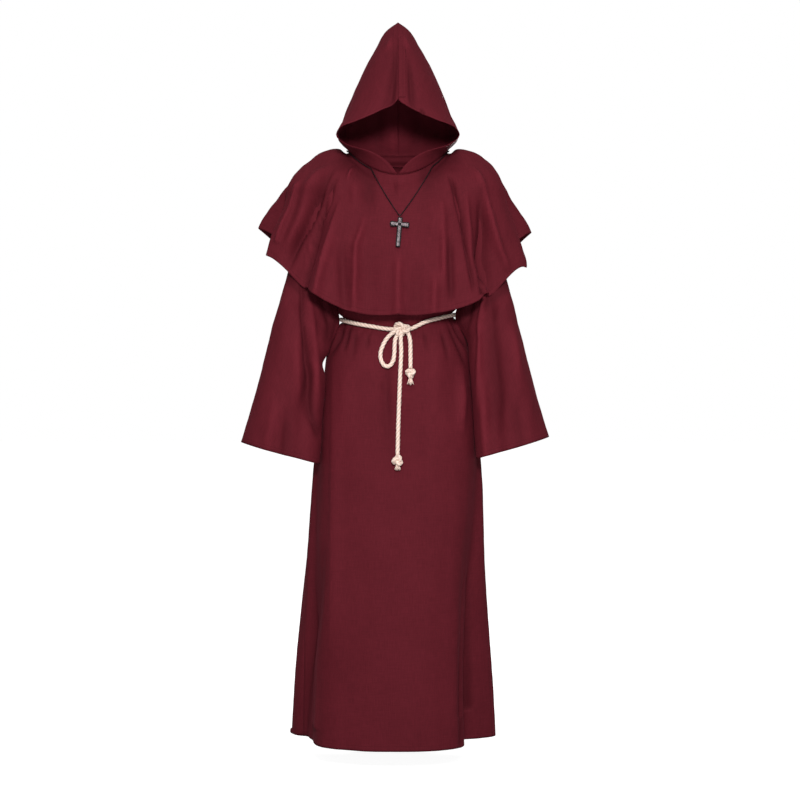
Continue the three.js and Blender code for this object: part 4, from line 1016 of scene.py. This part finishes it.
CAPE_CREASES = [
    # right half of the front
    fold("front", (-28, -158, 0, 10, 7), (-75, -180, -3.5, 11, 7), (-118, -200, -5.5, 12, 8),
         (-172, -222, -5.5, 13, 8), (-217, -247, -5, 13, 8), (-261, -266, -2.5, 13, 9),
         (-300, -280, 0, 13, 9), sharp=1.8),
    fold("front", (-50, -150, 0, 5, 6), (-93, -166, -3, 5, 6), (-143, -182, -4, 5, 6),
         (-180, -196, -4.5, 5, 7), (-229, -210, -4, 5, 7), (-271, -220, -3.5, 6, 7), (-316, -230, -3, 6, 7),
         (-350, -234, 0, 6, 7), sharp=1.7),
    fold("front", (-110, -166, 0, 5, 5), (-155, -183, 2, 5, 5), (-229, -214, 3, 5, 5),
         (-278, -227, 2, 5, 6), (-310, -236, 0, 6, 6)),
    fold("front", (-105, -140, 0, 6, 10), (-155, -156, 2, 6, 11), (-204, -167, 3, 6, 11),
         (-254, -181, 4, 6, 12), (-303, -195, 4.5, 6, 13), (-345, -205, 3.5, 7, 13), (-375, -209, 0, 8, 14),
         sharp=1.6),
    fold("front", (-20, -176, 0, 14, 14), (-60, -205, 2.5, 15, 14), (-105, -228, 3, 16, 14),
         (-155, -245, 3, 15, 13), (-204, -267, 2.5, 14, 12), (-245, -284, 0, 14, 12)),
    fold("front", (-28, -110, 0, 5, 5), (-48, -119, 3, 4, 5), (-72, -127, 0, 5, 5), sharp=1.5),
    fold("front", (-50, -106, 0, 12, 14), (-90, -106, 2, 13, 15), (-150, -108, 0, 14, 16)),
    fold("front", (-150, -80, 0, 7, 9), (-200, -94, 3, 7, 10), (-235, -105, 4, 6, 9),
         (-330, -108, 3.5, 6, 9), (-400, -108, 1, 8, 10), sharp=1.7),
    fold("front", (-215, -142, 0, 12, 12), (-270, -138, -2.5, 13, 13), (-330, -134, -3, 13, 13),
         (-388, -131, -1.5, 13, 13)),
    fold("front", (-60, -72, 0, 16, 16), (-110, -71, -1.5, 17, 16), (-165, -72, 0, 18, 18)),
    fold("front", (-225, -66, 0, 24, 26), (-310, -69, -2.2, 24, 28), (-402, -72, -2.2, 26, 30)),
    # middle
    fold("front", (-56, -5, 0, 3, 3), (-75, -5, -1.6, 3, 3), (-112, -5, 0, 4, 3), sharp=1.6),
    fold("front", (-240, 2, 0, 12, 12), (-300, 0, 3, 11, 11), (-403, 0, 3, 12, 12)),
    # left half of the front
    fold("front", (-100, 86, 0, 20, 22), (-165, 92, 2, 21, 22), (-240, 96, 0, 22, 24)),
    fold("front", (-110, 108, 0, 9, 9), (-160, 111, 2, 9, 9), (-258, 113, 3, 8, 8), (-340, 112, 0, 9, 9)),
    fold("front", (-205, 129, 0, 8, 9), (-260, 129, -2.5, 8, 9), (-330, 131, -2.5, 8, 9),
         (-380, 131, 0, 8, 9)),
    fold("front", (-290, 92, 0, 10, 11), (-345, 90, 3, 10, 11), (-402, 88, 2, 10, 11)),
    fold("front", (-250, 48, 0, 18, 18), (-330, 46, -2, 18, 18), (-403, 45, -2, 18, 18)),
    fold("front", (-49, 126, 0, 4, 5), (-81, 137, -3, 4, 6), (-130, 149, -4, 4, 6), (-167, 158, -4, 4, 6),
         (-229, 168, -4, 4, 7), (-266, 175, -3.5, 4, 7), (-316, 183, -3, 4, 8), (-352, 188, 0, 4, 8),
         sharp=1.6),
    fold("front", (-90, 168, 0, 6, 7), (-130, 171, 2, 6, 7), (-200, 175, 2.5, 6, 7), (-250, 178, 2, 6, 7),
         (-290, 184, 0, 6, 7)),
    fold("front", (-66, 204, 0, 10, 11), (-118, 211, -3.5, 10, 12), (-167, 209, -5, 9, 14),
         (-217, 206, -6, 8, 16), (-254, 204, -6.2, 8, 17), (-291, 211, -6, 9, 15), (-350, 219, -4, 12, 13),
         sharp=1.8),
    fold("front", (-20, 186, 0, 12, 9), (-70, 205, 3, 12, 9), (-130, 224, 4, 12, 9),
         (-180, 238, 4.5, 12, 9), (-229, 253, 4, 12, 9), (-271, 270, 2.5, 12, 9), (-292, 277, 0, 12, 9)),
    # shoulder edges
    fold("front", (-60, -238, 0, 6, 6), (-90, -254, 2, 6, 6), (-180, -293, 3.5, 6, 6),
         (-215, -306, 2, 6, 6), sharp=1.6),
    # back
    fold("back", (0, -60, 0, 10, 10), (-100, -92, -5, 12, 12), (-220, -128, -8, 15, 15),
         (-352, -158, -10, 18, 18)),
    fold("back", (-20, -30, 0, 10, 10), (-120, -44, 4, 13, 13), (-240, -60, 6, 16, 16),
         (-352, -76, 7, 18, 18)),
    fold("back", (0, 6, 0, 9, 9), (-90, 4, -4, 12, 12), (-200, -2, -6, 14, 15), (-352, -12, -8, 17, 18)),
    fold("back", (-60, 40, 0, 12, 12), (-180, 50, 4, 14, 14), (-352, 66, 6, 18, 16)),
    fold("back", (-4, 64, 0, 10, 10), (-110, 96, -5, 12, 12), (-230, 124, -8, 15, 14),
         (-350, 146, -10, 17, 16)),
    fold("back", (-60, 150, 0, 12, 12), (-160, 178, 4, 14, 14), (-330, 214, 7, 18, 16)),
    fold("back", (-60, -150, 0, 12, 12), (-170, -184, 4, 14, 14), (-320, -222, 7, 16, 18)),
]


def from_neck(co):
    """How far out from the cape's neck edge a point is, as a share of the neck's size."""
    return math.hypot(co.x / CAPE_SECTIONS[0]["half"], co.y / CAPE_SECTIONS[0]["front"]) - 1


def cape_drape(co, normal):
    waves = 1.6 * drift(co.x, co.y, co.z, 34, 3.2, 8.3) + 0.8 * drift(co.x, co.y, co.z, 17, 2.4, 1.9)
    free = smooth(-co.z, -10, 200)
    out = from_neck(co)
    seam_dip = -5 * math.exp(-(((out - 0.1) / 0.07) ** 2)) * smooth(out, 0, 0.06)
    at_side = smooth(abs(co.x) / math.hypot(co.x, co.y), 0.75, 0.96) * smooth(out, 0, 0.3)
    fill = column(SHOULDER_FILL, "out", co.z) * at_side * (1 if co.x < 0 else 0.6)
    return waves * free + 0.4 * drift(co.x, co.y, co.z, 15, 1, 4.7) + seam_dip + fill


# Painted shadow of the hood on the cape: its colour is darkened near the neck, away from the middle.
def hood_shadow(co, normal):
    return 1.3 * math.exp(-((from_neck(co) / 0.28) ** 2)) * smooth(abs(co.x), 40, 75)


def cape_panel(name, low, high):
    turns = steps_along(lambda turn: cape_surface(turn, 1), low, high, 190)
    bm = cloth_bmesh(cape_surface, turns, even_steps(1, 0, 84), "first_row")
    lay_folds(bm, CAPE_CREASES, cape_drape, CAPE_DEPTH)
    darken(bm, hood_shadow)
    finish_cloth(name, bm, (0.96, 0.46), 0.3, "draped", ["robe_front", "robe_back"])


HOOD_CREASES = [
    fold("front", (290, -2, 0, 6, 3), (235, -5, -3, 9, 5), (180, -11, -6, 14, 8), (132, -18, -8, 18, 12),
         (96, -22, 0, 18, 14)),
    fold("front", (250, 26, 0, 5, 6), (215, 29, -2.5, 5, 7), (150, 32, -5, 6, 9), (110, 36, -2, 7, 10),
         (92, 40, 0, 7, 10)),
    fold("front", (112, 58, 0, 4, 4), (92, 62, -5, 5, 4), (72, 66, -5, 6, 5), (60, 68, 0, 6, 5), sharp=1.7),
    fold("front", (310, -16, 0, 7, 7), (285, -22, 2.5, 8, 8), (262, -30, 0, 9, 9)),
    fold("front", (318, 12, 0, 6, 7), (290, 20, 2.5, 7, 8), (262, 28, 0, 8, 9)),
    fold("right", (40, -70, 0, 10, 10), (90, -62, -4, 12, 12), (170, -40, 0, 14, 14)),
    fold("right", (30, -20, 0, 12, 12), (100, -8, -5, 14, 14), (210, 10, 0, 16, 16)),
    fold("right", (26, 36, 0, 12, 12), (90, 50, 4, 14, 14), (180, 56, 0, 16, 14)),
    fold("left", (40, -64, 0, 10, 10), (100, -56, -4, 12, 12), (180, -36, 0, 14, 14)),
    fold("left", (30, -10, 0, 12, 12), (90, 4, -5, 14, 14), (200, 20, 0, 16, 16)),
    fold("left", (26, 44, 0, 12, 12), (100, 56, 4, 14, 14), (190, 56, 0, 14, 14)),
    fold("back", (26, -50, 0, 10, 12), (80, -54, -4, 12, 14), (170, -44, 0, 14, 14)),
    fold("back", (26, 44, 0, 12, 10), (90, 52, -4, 14, 12), (190, 40, 0, 14, 14)),
    fold("back", (24, -12, 0, 8, 8), (60, -14, 3, 9, 9), (110, -14, 0, 10, 10)),
]


def hood_half(name, side):
    ends = (1, 0) if side > 0 else (0, 1)
    acrosses = even_steps(*ends, 84)
    shares = steps_along(lambda share: hood_surface(1, 0.5, share), 0, 1, 104)
    hem = "first_column" if side > 0 else "last_column"
    bm = cloth_bmesh(lambda across, share: hood_surface(side, across, share), acrosses, shares, hem)

    def slack(co, normal):
        off_seam = smooth(abs(co.x), 0, 14)
        waves = 1.6 * drift(co.x, co.y, co.z, 44, 2, 3.3 * side) + 0.7 * drift(co.x, co.y, co.z, 20, 1.6, 8.8)
        return waves * off_seam * smooth(co.z, 10, 90)

    lay_folds(bm, HOOD_CREASES, slack, HOOD_DEPTH)
    finish_cloth(name, bm, (0.36, 0.46), 0.115, "draped", ["cape_front", "cape_back"])


def hood_crown_band():
    """The seam allowance that is stitched down along the crown, puckered across by its stitches."""
    def surface(offset, share):
        reach = (hood_surface(1, 1, share) - hood_surface(1, 0.99, share)).length * 100
        return hood_surface(1, 1 - offset / reach, share)

    def puckers(co, normal):
        lap = 1.4 if 2 < co.x < 19 else 0.9
        pulled = 0.5 * math.sin(co.z / 3.4) * smooth(230 - co.z, 0, 90)
        return lap + pulled + 0.4 * drift(0, 0, co.z, 11, 1, 2.2)

    bm = cloth_bmesh(surface, even_steps(0.6, 20, 10), even_steps(0.532, 0.9, 60), "first_column")
    lay_folds(bm, HOOD_CREASES[:2], puckers)
    finish_cloth("hood_crown_band", bm, (0.02, 0.2), 0.004, "laid", ["hood_left"], thickness=BAND_THICKNESS)


robe_panel("robe_front", -1, -90, 90, (0.74, 1.50), 0.79)
robe_panel("robe_back", 1, 90, 270, (0.79, 1.50), 0.83)
sleeve("sleeve_left", 1)
sleeve("sleeve_right", -1)
cape_panel("cape_front", -90, 90)
cape_panel("cape_back", 90, 270)
hood_half("hood_left", 1)
hood_half("hood_right", -1)
hood_crown_band()

# ---- Rope and cord ----


def smooth_path(points, spacing):
    """Points evenly spaced along a smooth curve through the given ones."""
    fine = []
    ends = [points[0] * 2 - points[1]] + list(points) + [points[-1] * 2 - points[-2]]
    for a, b, c, d in zip(ends, ends[1:], ends[2:], ends[3:]):
        for k in range(12):
            t = k / 12
            point = b * 2 + (c - a) * t + (a * 2 - b * 5 + c * 4 - d) * t * t
            fine.append((point + (b * 3 - a - c * 3 + d) * t**3) / 2)
    fine.append(points[-1])
    lengths = running_lengths(fine)
    count = max(4, round(lengths[-1] / spacing))
    path, i = [], 0
    for k in range(count + 1):
        wanted = lengths[-1] * k / count
        while i < len(fine) - 2 and lengths[i + 1] < wanted:
            i += 1
        path.append(fine[i].lerp(fine[i + 1], min(1, (wanted - lengths[i]) / (lengths[i + 1] - lengths[i]))))
    return path


def laid_rope(path, diameter, strands, pitch, sides, groove=0.2, taper=0.0):
    """A rope of twisted strands along a path: a grid rolled round the path, welded and closed at its ends."""
    bm = bmesh.new()
    crown = bm.verts.layers.float.new("crown")
    uv = bm.loops.layers.uv.new("cloth")
    count = len(path) - 1
    bmesh.ops.create_grid(bm, x_segments=sides, y_segments=count, size=0.5)
    frames, forward = [], (path[1] - path[0]).normalized()
    normal = forward.orthogonal().normalized()
    for j, point in enumerate(path):
        ahead = (path[min(j + 1, count)] - path[max(j - 1, 0)]).normalized()
        normal = (normal - ahead * normal.dot(ahead)).normalized()
        frames.append((point, normal, ahead.cross(normal)))
    step = running_lengths(path)[-1] / count
    keys = {v: (round((v.co.x + 0.5) * sides), round((v.co.y + 0.5) * count)) for v in bm.verts}
    for face in bm.faces:
        for loop in face.loops:
            i, j = keys[loop.vert]
            loop[uv].uv = (i / sides - j * step / pitch, j * step * MM)
    for vert, (i, j) in keys.items():
        angle = 2 * math.pi * i / sides
        lobe = abs(math.cos(strands / 2 * (angle - 2 * math.pi * j * step / pitch))) ** 0.75
        near_end = min(j, count - j) * step / diameter
        thin = 1 - taper * (1 - smooth(near_end, 0, 0.6))
        reach = diameter / 2 * (1 - groove + groove * lobe) * thin
        point, side, over = frames[j]
        vert.co = point + (side * math.cos(angle) + over * math.sin(angle)) * reach
        vert[crown] = lobe
    bmesh.ops.remove_doubles(bm, verts=bm.verts, dist=0.0005)
    bmesh.ops.holes_fill(bm, edges=[e for e in bm.edges if e.is_boundary], sides=0)
    bmesh.ops.recalc_face_normals(bm, faces=bm.faces)
    return bm


def joined(parts):
    """Several bmeshes in one."""
    whole = bmesh.new()
    for part in parts:
        holder = bpy.data.meshes.new("part")
        part.to_mesh(holder)
        part.free()
        whole.from_mesh(holder)
        bpy.data.meshes.remove(holder)
    return whole


def finish_rope(name, bm, material=ROPE_COTTON, slot="rope"):
    bmesh.ops.scale(bm, vec=(MM, MM, MM), verts=bm.verts)
    return finish_piece(name + "_laid", bm, [material], slot, name)


def on_robe_front(x, z, lift):
    turn, point = 0.0, robe_ring(0, z)
    for _ in range(8):
        turn += math.degrees((x - point.x) / abs(point.y))
        point = robe_ring(turn, z)
    point.y -= lift
    return point


def lifted(surface, u, v, lift):
    along_u = surface(u + 0.2, v) - surface(u - 0.2, v)
    along_v = surface(u, v + 0.003) - surface(u, v - 0.003)
    return surface(u, v) + along_u.cross(along_v).normalized() * lift


ROPE_LIFT = CLOTH_WALL / 2 + LAID_ON + ROPE_DIAMETER / 2
ROPE_PITCH = 33
ROPE_STRANDS = 3
KNOT = on_robe_front(9, WAIST_Z - KNOT_DROP, ROPE_LIFT + 10)
ROPE_BOW = table(
    "x z away",
    (2, -432, 12), (-12, -444, 10), (-28, -460, 4), (-41, -486, 0), (-43, -508, 0), (-35, -525, 0),
    (-22, -528, 0), (-12, -515, 0), (-9, -495, 1), (-8, -474, 3), (-6, -460, 3), (0, -448, 1),
)
ROPE_LONG_END = table(
    "x z away",
    (8, -438, 8), (7, -462, 5), (8, -490, 1), (7, -520, 0), (5, -560, 0), (1, -670, 0), (-1, -748, 0),
)
ROPE_SHORT_END = table("x z away", (12, -436, 8), (25, -446, 6), (30, -464, 3), (31, -490, 0), (31, -534, 0))


def hanging_path(stations):
    return [on_robe_front(s["x"], s["z"], ROPE_LIFT + 1 + s["away"]) for s in stations]


def waist_path():
    def waist(turn, z):
        return robe_ring(turn, worn_height(turn, z))

    path = [lifted(waist, turn, WAIST_Z, ROPE_LIFT + 1.5) for turn in even_steps(12, 348, 40)]
    left = Vector((KNOT.x + 10, KNOT.y + 2, KNOT.z))
    right = Vector((KNOT.x - 10, KNOT.y + 2, KNOT.z))
    return [left] + path + [right]


def every(points, step):
    """Each so many of the points, and always the last."""
    return points[::step] + (points[-1:] if (len(points) - 1) % step else [])


def declare_rope(piece, path, lay, far_end, with_pieces=(), diameter=ROPE_DIAMETER):
    points = [tuple(p * MM) for p in path]
    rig.cord(
        piece, exit=points[0], length=running_lengths(path)[-1] * MM, diameter=diameter * MM, far_end=far_end,
        stiffness="limp", lay=lay, path=points, with_pieces=with_pieces,
    )


def hitch(centre, size, tilt, diameter, flatten=0.62, widen=1.0):
    """The crossing turns of a pulled-up knot."""
    points = []
    for k in range(49):
        t = 2 * math.pi * k / 48
        x = math.sin(t) + 2 * math.sin(2 * t)
        z = math.cos(t) - 2 * math.cos(2 * t)
        points.append(Vector((x / 3 * size, -math.sin(3 * t) * diameter * flatten, z / 3 * size)))
    shape = Matrix.Diagonal((widen, 1, 1)) @ Matrix.Rotation(math.radians(tilt), 3, "Y")
    path = smooth_path([centre + shape @ p for p in points], 1.6)
    return laid_rope(path, diameter, ROPE_STRANDS, ROPE_PITCH, 18)


def belt_knot():
    centre = KNOT + Vector((0, 1, 0))
    return finish_rope("rope_knot", hitch(centre, 15.5, 20, ROPE_DIAMETER, widen=1.2))


GOLDEN_ANGLE = 2.39996
noise.seed_set(1)  # without a seed, each run leans the tufts' strands another way


def tuft(origin, length, spread, count, seed):
    """Loose fibre ends below a knot, fanning out."""
    parts = []
    for k in range(count):
        lean = noise.noise_vector(Vector((k * 1.37 + seed, seed * 2.1, k * 0.71)))
        angle = k * GOLDEN_ANGLE
        foot = Vector((math.cos(angle), 0.7 * math.sin(angle), 0)) * math.sqrt((k + 0.5) / count)
        stray = Vector((lean.x, 0.4 * lean.y, 0))
        drop = Vector((0, 0, length * (0.72 + 0.28 * abs(lean.z) * 1.6)))
        points = [
            origin + foot * 2.6,
            origin + foot * (3.2 + spread * 0.35) + stray * 1.5 - drop * 0.5,
            origin + foot * (3.2 + spread) + stray * 5 - drop,
        ]
        parts.append(laid_rope(smooth_path(points, 4), 1.7, 2, 14, 6, 0.1, taper=0.75))
    return parts


def end_knot(name, x, z, size, tuft_length, seed):
    centre = on_robe_front(x, z - size, CLOTH_WALL / 2 + LAID_ON + size * 1.02)
    parts = [hitch(centre, size * 0.9, 35 + seed * 40, ROPE_DIAMETER * 0.92, 0.5)]
    parts += tuft(centre + Vector((0, 0, -size * 0.6)), tuft_length + size * 0.5, 4.5, 34, seed)
    return finish_rope(name, joined(parts))


rope_knot = belt_knot()
long_knot = end_knot("rope_long_knot", -1, -749, 12.0, 13, 1)
short_knot = end_knot("rope_short_knot", 31, -535, 10.5, 20, 2)

for rope_name, route, on_it, lay in (
    ("rope_waist", waist_path(), [rope_knot], "taut"),
    ("rope_bow", hanging_path(ROPE_BOW), [], "hanging"),
    ("rope_long_end", hanging_path(ROPE_LONG_END), [long_knot], "hanging"),
    ("rope_short_end", hanging_path(ROPE_SHORT_END), [short_knot], "hanging"),
):
    line = smooth_path(route, 1.5)
    made = finish_rope(rope_name, laid_rope(line, ROPE_DIAMETER, ROPE_STRANDS, ROPE_PITCH, 21, taper=0.15))
    declare_rope(made, every(line, 4), lay, "knot", on_it)

# ---- Cross on its cord ----

CORD_LIFT = CLOTH_WALL / 2 + LAID_ON + CORD_DIAMETER / 2
BAIL_RADIUS = 4.4
BAIL_LIFT = CLOTH_WALL / 2 + LAID_ON + BAIL_RADIUS
BAIL_PLACE = {"turn": 2.4, "share": 0.317}
CORD_NECK_SHARE = 0.03
CORD_NECK_LEFT = (87, -29)  # where the cord goes under the hood, across and up
CORD_NECK_RIGHT = (-67, -36)
CROSS_LIMB = 6  # half the width of a limb
CROSS_REACH = {(1, 0): 24, (-1, 0): 24, (0, 1): 18, (0, -1): 57}
CROSS_ARM_FLARE = 0.12
CROSS_PLATE = 3.2
CROSS_FACE = 1.2  # how far the lighter face stands out of the plate
CROSS_BOSS = 4.2
CROSS_X = 4.4
CROSS_AHEAD = 7.4  # from the middle of the cape's wall to the plate's back
CROSS_TILT = 0.085


def on_cape(turn, share, lift):
    return lifted(cape_surface, turn, share, -lift)


def cape_front_place(x, z):
    """The turn and share of the cape's front at a given place across and height."""
    low, high, turn = 0.0, 1.0, 0.0
    for _ in range(24):
        share = (low + high) / 2
        for _ in range(6):
            point = cape_surface(turn, share)
            turn += math.degrees((x - point.x) / math.hypot(point.x, point.y))
        if cape_surface(turn, share).z > z:
            low = share
        else:
            high = share
    return turn, (low + high) / 2


def necklace_climb(side, neck):
    """Half of the cord, from the cross's ring straight up to where the hood hides it."""
    ring = on_cape(BAIL_PLACE["turn"], BAIL_PLACE["share"], 0)
    path = []
    for t in even_steps(0, 1, 12):
        x = mix(ring.x + side * 1.6, neck[0], t)
        z = mix(ring.z, neck[1], t) - 5 * math.sin(math.pi * t)
        path.append(on_cape(*cape_front_place(x, z), mix(BAIL_LIFT, CORD_LIFT + 1, smooth(t, 0, 0.2))))
    return path


def necklace_path():
    left_turn, left_share = cape_front_place(*CORD_NECK_LEFT)
    right_turn, right_share = cape_front_place(*CORD_NECK_RIGHT)
    nape = []
    for t in even_steps(0, 1, 40)[1:-1]:
        settle = smooth(min(t, 1 - t), 0, 0.12)
        share = mix(mix(left_share, right_share, t), CORD_NECK_SHARE, settle)
        nape.append(on_cape(mix(left_turn, right_turn + 360, t), share, CORD_LIFT + 1))
    return necklace_climb(1, CORD_NECK_LEFT) + nape + necklace_climb(-1, CORD_NECK_RIGHT)[::-1]


def facing_up(bm):
    bm.normal_update()
    return [face for face in bm.faces if face.normal.z > 0.9]


def cross_plate():
    """A cross that lies flat: limbs grown from a square, the arms a little flared, and the ends rounded."""
    bm = bmesh.new()
    bmesh.ops.create_grid(bm, x_segments=1, y_segments=1, size=CROSS_LIMB)
    for edge in list(bm.edges):
        way = ((edge.verts[0].co + edge.verts[1].co) / 2).normalized()
        reach = CROSS_REACH[(round(way.x), round(way.y))]
        grown = bmesh.ops.extrude_edge_only(bm, edges=[edge])["geom"]
        tips = [item for item in grown if isinstance(item, bmesh.types.BMVert)]
        bmesh.ops.translate(bm, vec=way * (reach - CROSS_LIMB), verts=tips)
        for tip in tips:
            tip.co += (tip.co - way * tip.co.dot(way)) * CROSS_ARM_FLARE * abs(round(way.x))
    bmesh.ops.recalc_face_normals(bm, faces=bm.faces)
    if bm.faces[:][0].normal.z < 0:
        bmesh.ops.reverse_faces(bm, faces=bm.faces)
    grown = bmesh.ops.extrude_face_region(bm, geom=list(bm.faces), use_keep_orig=True)["geom"]
    front = [item for item in grown if isinstance(item, bmesh.types.BMFace)]
    bmesh.ops.translate(bm, vec=(0, 0, CROSS_PLATE), verts=list({v for f in front for v in f.verts}))
    bmesh.ops.recalc_face_normals(bm, faces=bm.faces)
    upright = [e for e in bm.edges if abs((e.verts[0].co - e.verts[1].co).z) > 1 and e.calc_face_angle(0) > 1]
    ends = [e for e in upright if max(abs(e.verts[0].co.x), abs(e.verts[0].co.y)) > CROSS_LIMB + 2]
    bmesh.ops.bevel(bm, geom=ends, offset=3.4, segments=4, profile=0.5, affect="EDGES", material=-1)
    return bm


def raise_cross_face(bm):
    bmesh.ops.dissolve_faces(bm, faces=facing_up(bm))
    bmesh.ops.inset_region(bm, faces=facing_up(bm), thickness=1.9, depth=0, use_even_offset=True)
    inner = [face for face in facing_up(bm) if len(face.verts) > 8]
    bmesh.ops.inset_region(bm, faces=inner, thickness=0.7, depth=CROSS_FACE, use_even_offset=True)
    for face in bm.faces:
        face.material_index = 0
    for face in inner:
        face.material_index = 1


def cross():
    """A cast cross: a thick plate, a raised, lighter face inside its dark rim, and a low boss."""
    bm = cross_plate()
    raise_cross_face(bm)
    rims = [edge for edge in bm.edges if edge.calc_face_angle(0) > 0.9]
    bmesh.ops.bevel(bm, geom=rims, offset=0.35, segments=2, profile=0.5, affect="EDGES", material=-1)
    boss = bmesh.ops.create_icosphere(bm, subdivisions=3, radius=CROSS_BOSS)["verts"]
    bmesh.ops.scale(bm, vec=(1, 1, 0.3), verts=boss)
    bmesh.ops.translate(bm, vec=(0, 0, CROSS_PLATE + CROSS_FACE), verts=boss)
    top = on_cape(1.5, BAIL_PLACE["share"] + 0.063, 0)
    foot = on_cape(1, BAIL_PLACE["share"] + 0.273, 0)
    lean = -math.atan2(top.y - foot.y, top.z - foot.z)
    turned = Matrix.Rotation(CROSS_TILT, 4, "Y") @ Matrix.Rotation(lean + math.pi / 2, 4, "X")
    place = Matrix.Translation((CROSS_X, top.y - CROSS_AHEAD, top.z + 0.5)) @ turned
    bmesh.ops.transform(bm, matrix=place, verts=bm.verts)
    bmesh.ops.scale(bm, vec=(MM, MM, MM), verts=bm.verts)
    piece = finish_piece("cross_cast", bm, [GUNMETAL_RIM, GUNMETAL_FACE], "metal", "cross")
    for polygon in piece.data.polygons:
        polygon.use_smooth = False


def necklace():
    line = smooth_path(necklace_path(), 2.2)
    cord = finish_rope("necklace_cord", laid_rope(line, CORD_DIAMETER, 4, 9, 10, 0.12), BLACK_CORD, "cord")
    declare_rope(cord, every(line, 2), "hanging", "object", diameter=CORD_DIAMETER)


frame["nodes"]["cross_bail"].material_slots[0].material = GUNMETAL_FACE
cross()
necklace()

# ---- Studio ----


def make_floor():
    bm = bmesh.new()
    bmesh.ops.create_grid(bm, x_segments=1, y_segments=1, size=30)
    bmesh.ops.translate(bm, vec=(0, 0, -1.53), verts=bm.verts)
    mesh = bpy.data.meshes.new("studio_floor")
    bm.to_mesh(mesh)
    bm.free()
    matt = {"Base Color": (0.3, 0.3, 0.3, 1), "Roughness": 0.9, "Specular IOR Level": 0.0}
    made, tree, shader = start_material("pale floor", {**matt, "Emission Color": (1, 1, 1, 1)})
    seen = add_node(tree, "LightPath").outputs["Is Camera Ray"]
    tree.links.new(math_node(tree, "MULTIPLY", seen, 0.94), shader.inputs["Emission Strength"])
    mesh.materials.append(made)
    floor = bpy.data.objects.new("studio_floor", mesh)
    scene.collection.objects.link(floor)
    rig.stage(floor)


def make_sky():
    """White where it is seen, and a dimmer white as light."""
    world = bpy.data.worlds.new("studio")
    world.use_nodes = True
    tree = world.node_tree
    seen = add_node(tree, "LightPath").outputs["Is Camera Ray"]
    tree.links.new(ramp(tree, seen, 0, 1, 0.36, 1), tree.nodes["Background"].inputs["Strength"])
    tree.nodes["Background"].inputs["Color"].default_value = (1, 1, 1, 1)
    scene.world = world


def hang_lamp(lamp, place, way):
    holder = bpy.data.objects.new(lamp.name, lamp)
    holder.location = place
    holder.rotation_euler = way.to_track_quat("-Z", "Y").to_euler()
    scene.collection.objects.link(holder)


def make_sun():
    lamp = bpy.data.lights.new("overhead_light", "SUN")
    lamp.energy = 0.7
    lamp.angle = math.radians(30)
    hang_lamp(lamp, (0, 0, 0), Vector((0.04, 0.42, -0.9)))


def make_lamp(name, energy, size, place, aim):
    lamp = bpy.data.lights.new(name, "AREA")
    lamp.shape = "RECTANGLE"
    lamp.size, lamp.size_y = size, size
    lamp.energy = energy
    hang_lamp(lamp, place, Vector(aim) - Vector(place))


def make_studio():
    make_floor()
    make_sky()
    make_sun()
    make_lamp("key_light", 81, 0.5, (0.1, -3.0, 0.48), (0, 0, -0.3))
    make_lamp("fill_light", 14, 1.0, (0.1, -2.6, -0.9), (0, 0, 0.1))
    make_lamp("back_light", 80, 0.8, (0.5, 3.2, 0.5), (0, 0, -0.5))
    scene.view_settings.view_transform = "Standard"


make_studio()

with open("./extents.json", "w") as handle:
    json.dump({"cad": [list(corner) for corner in cad_box], "visual": [list(corner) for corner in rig.bounds()]}, handle)
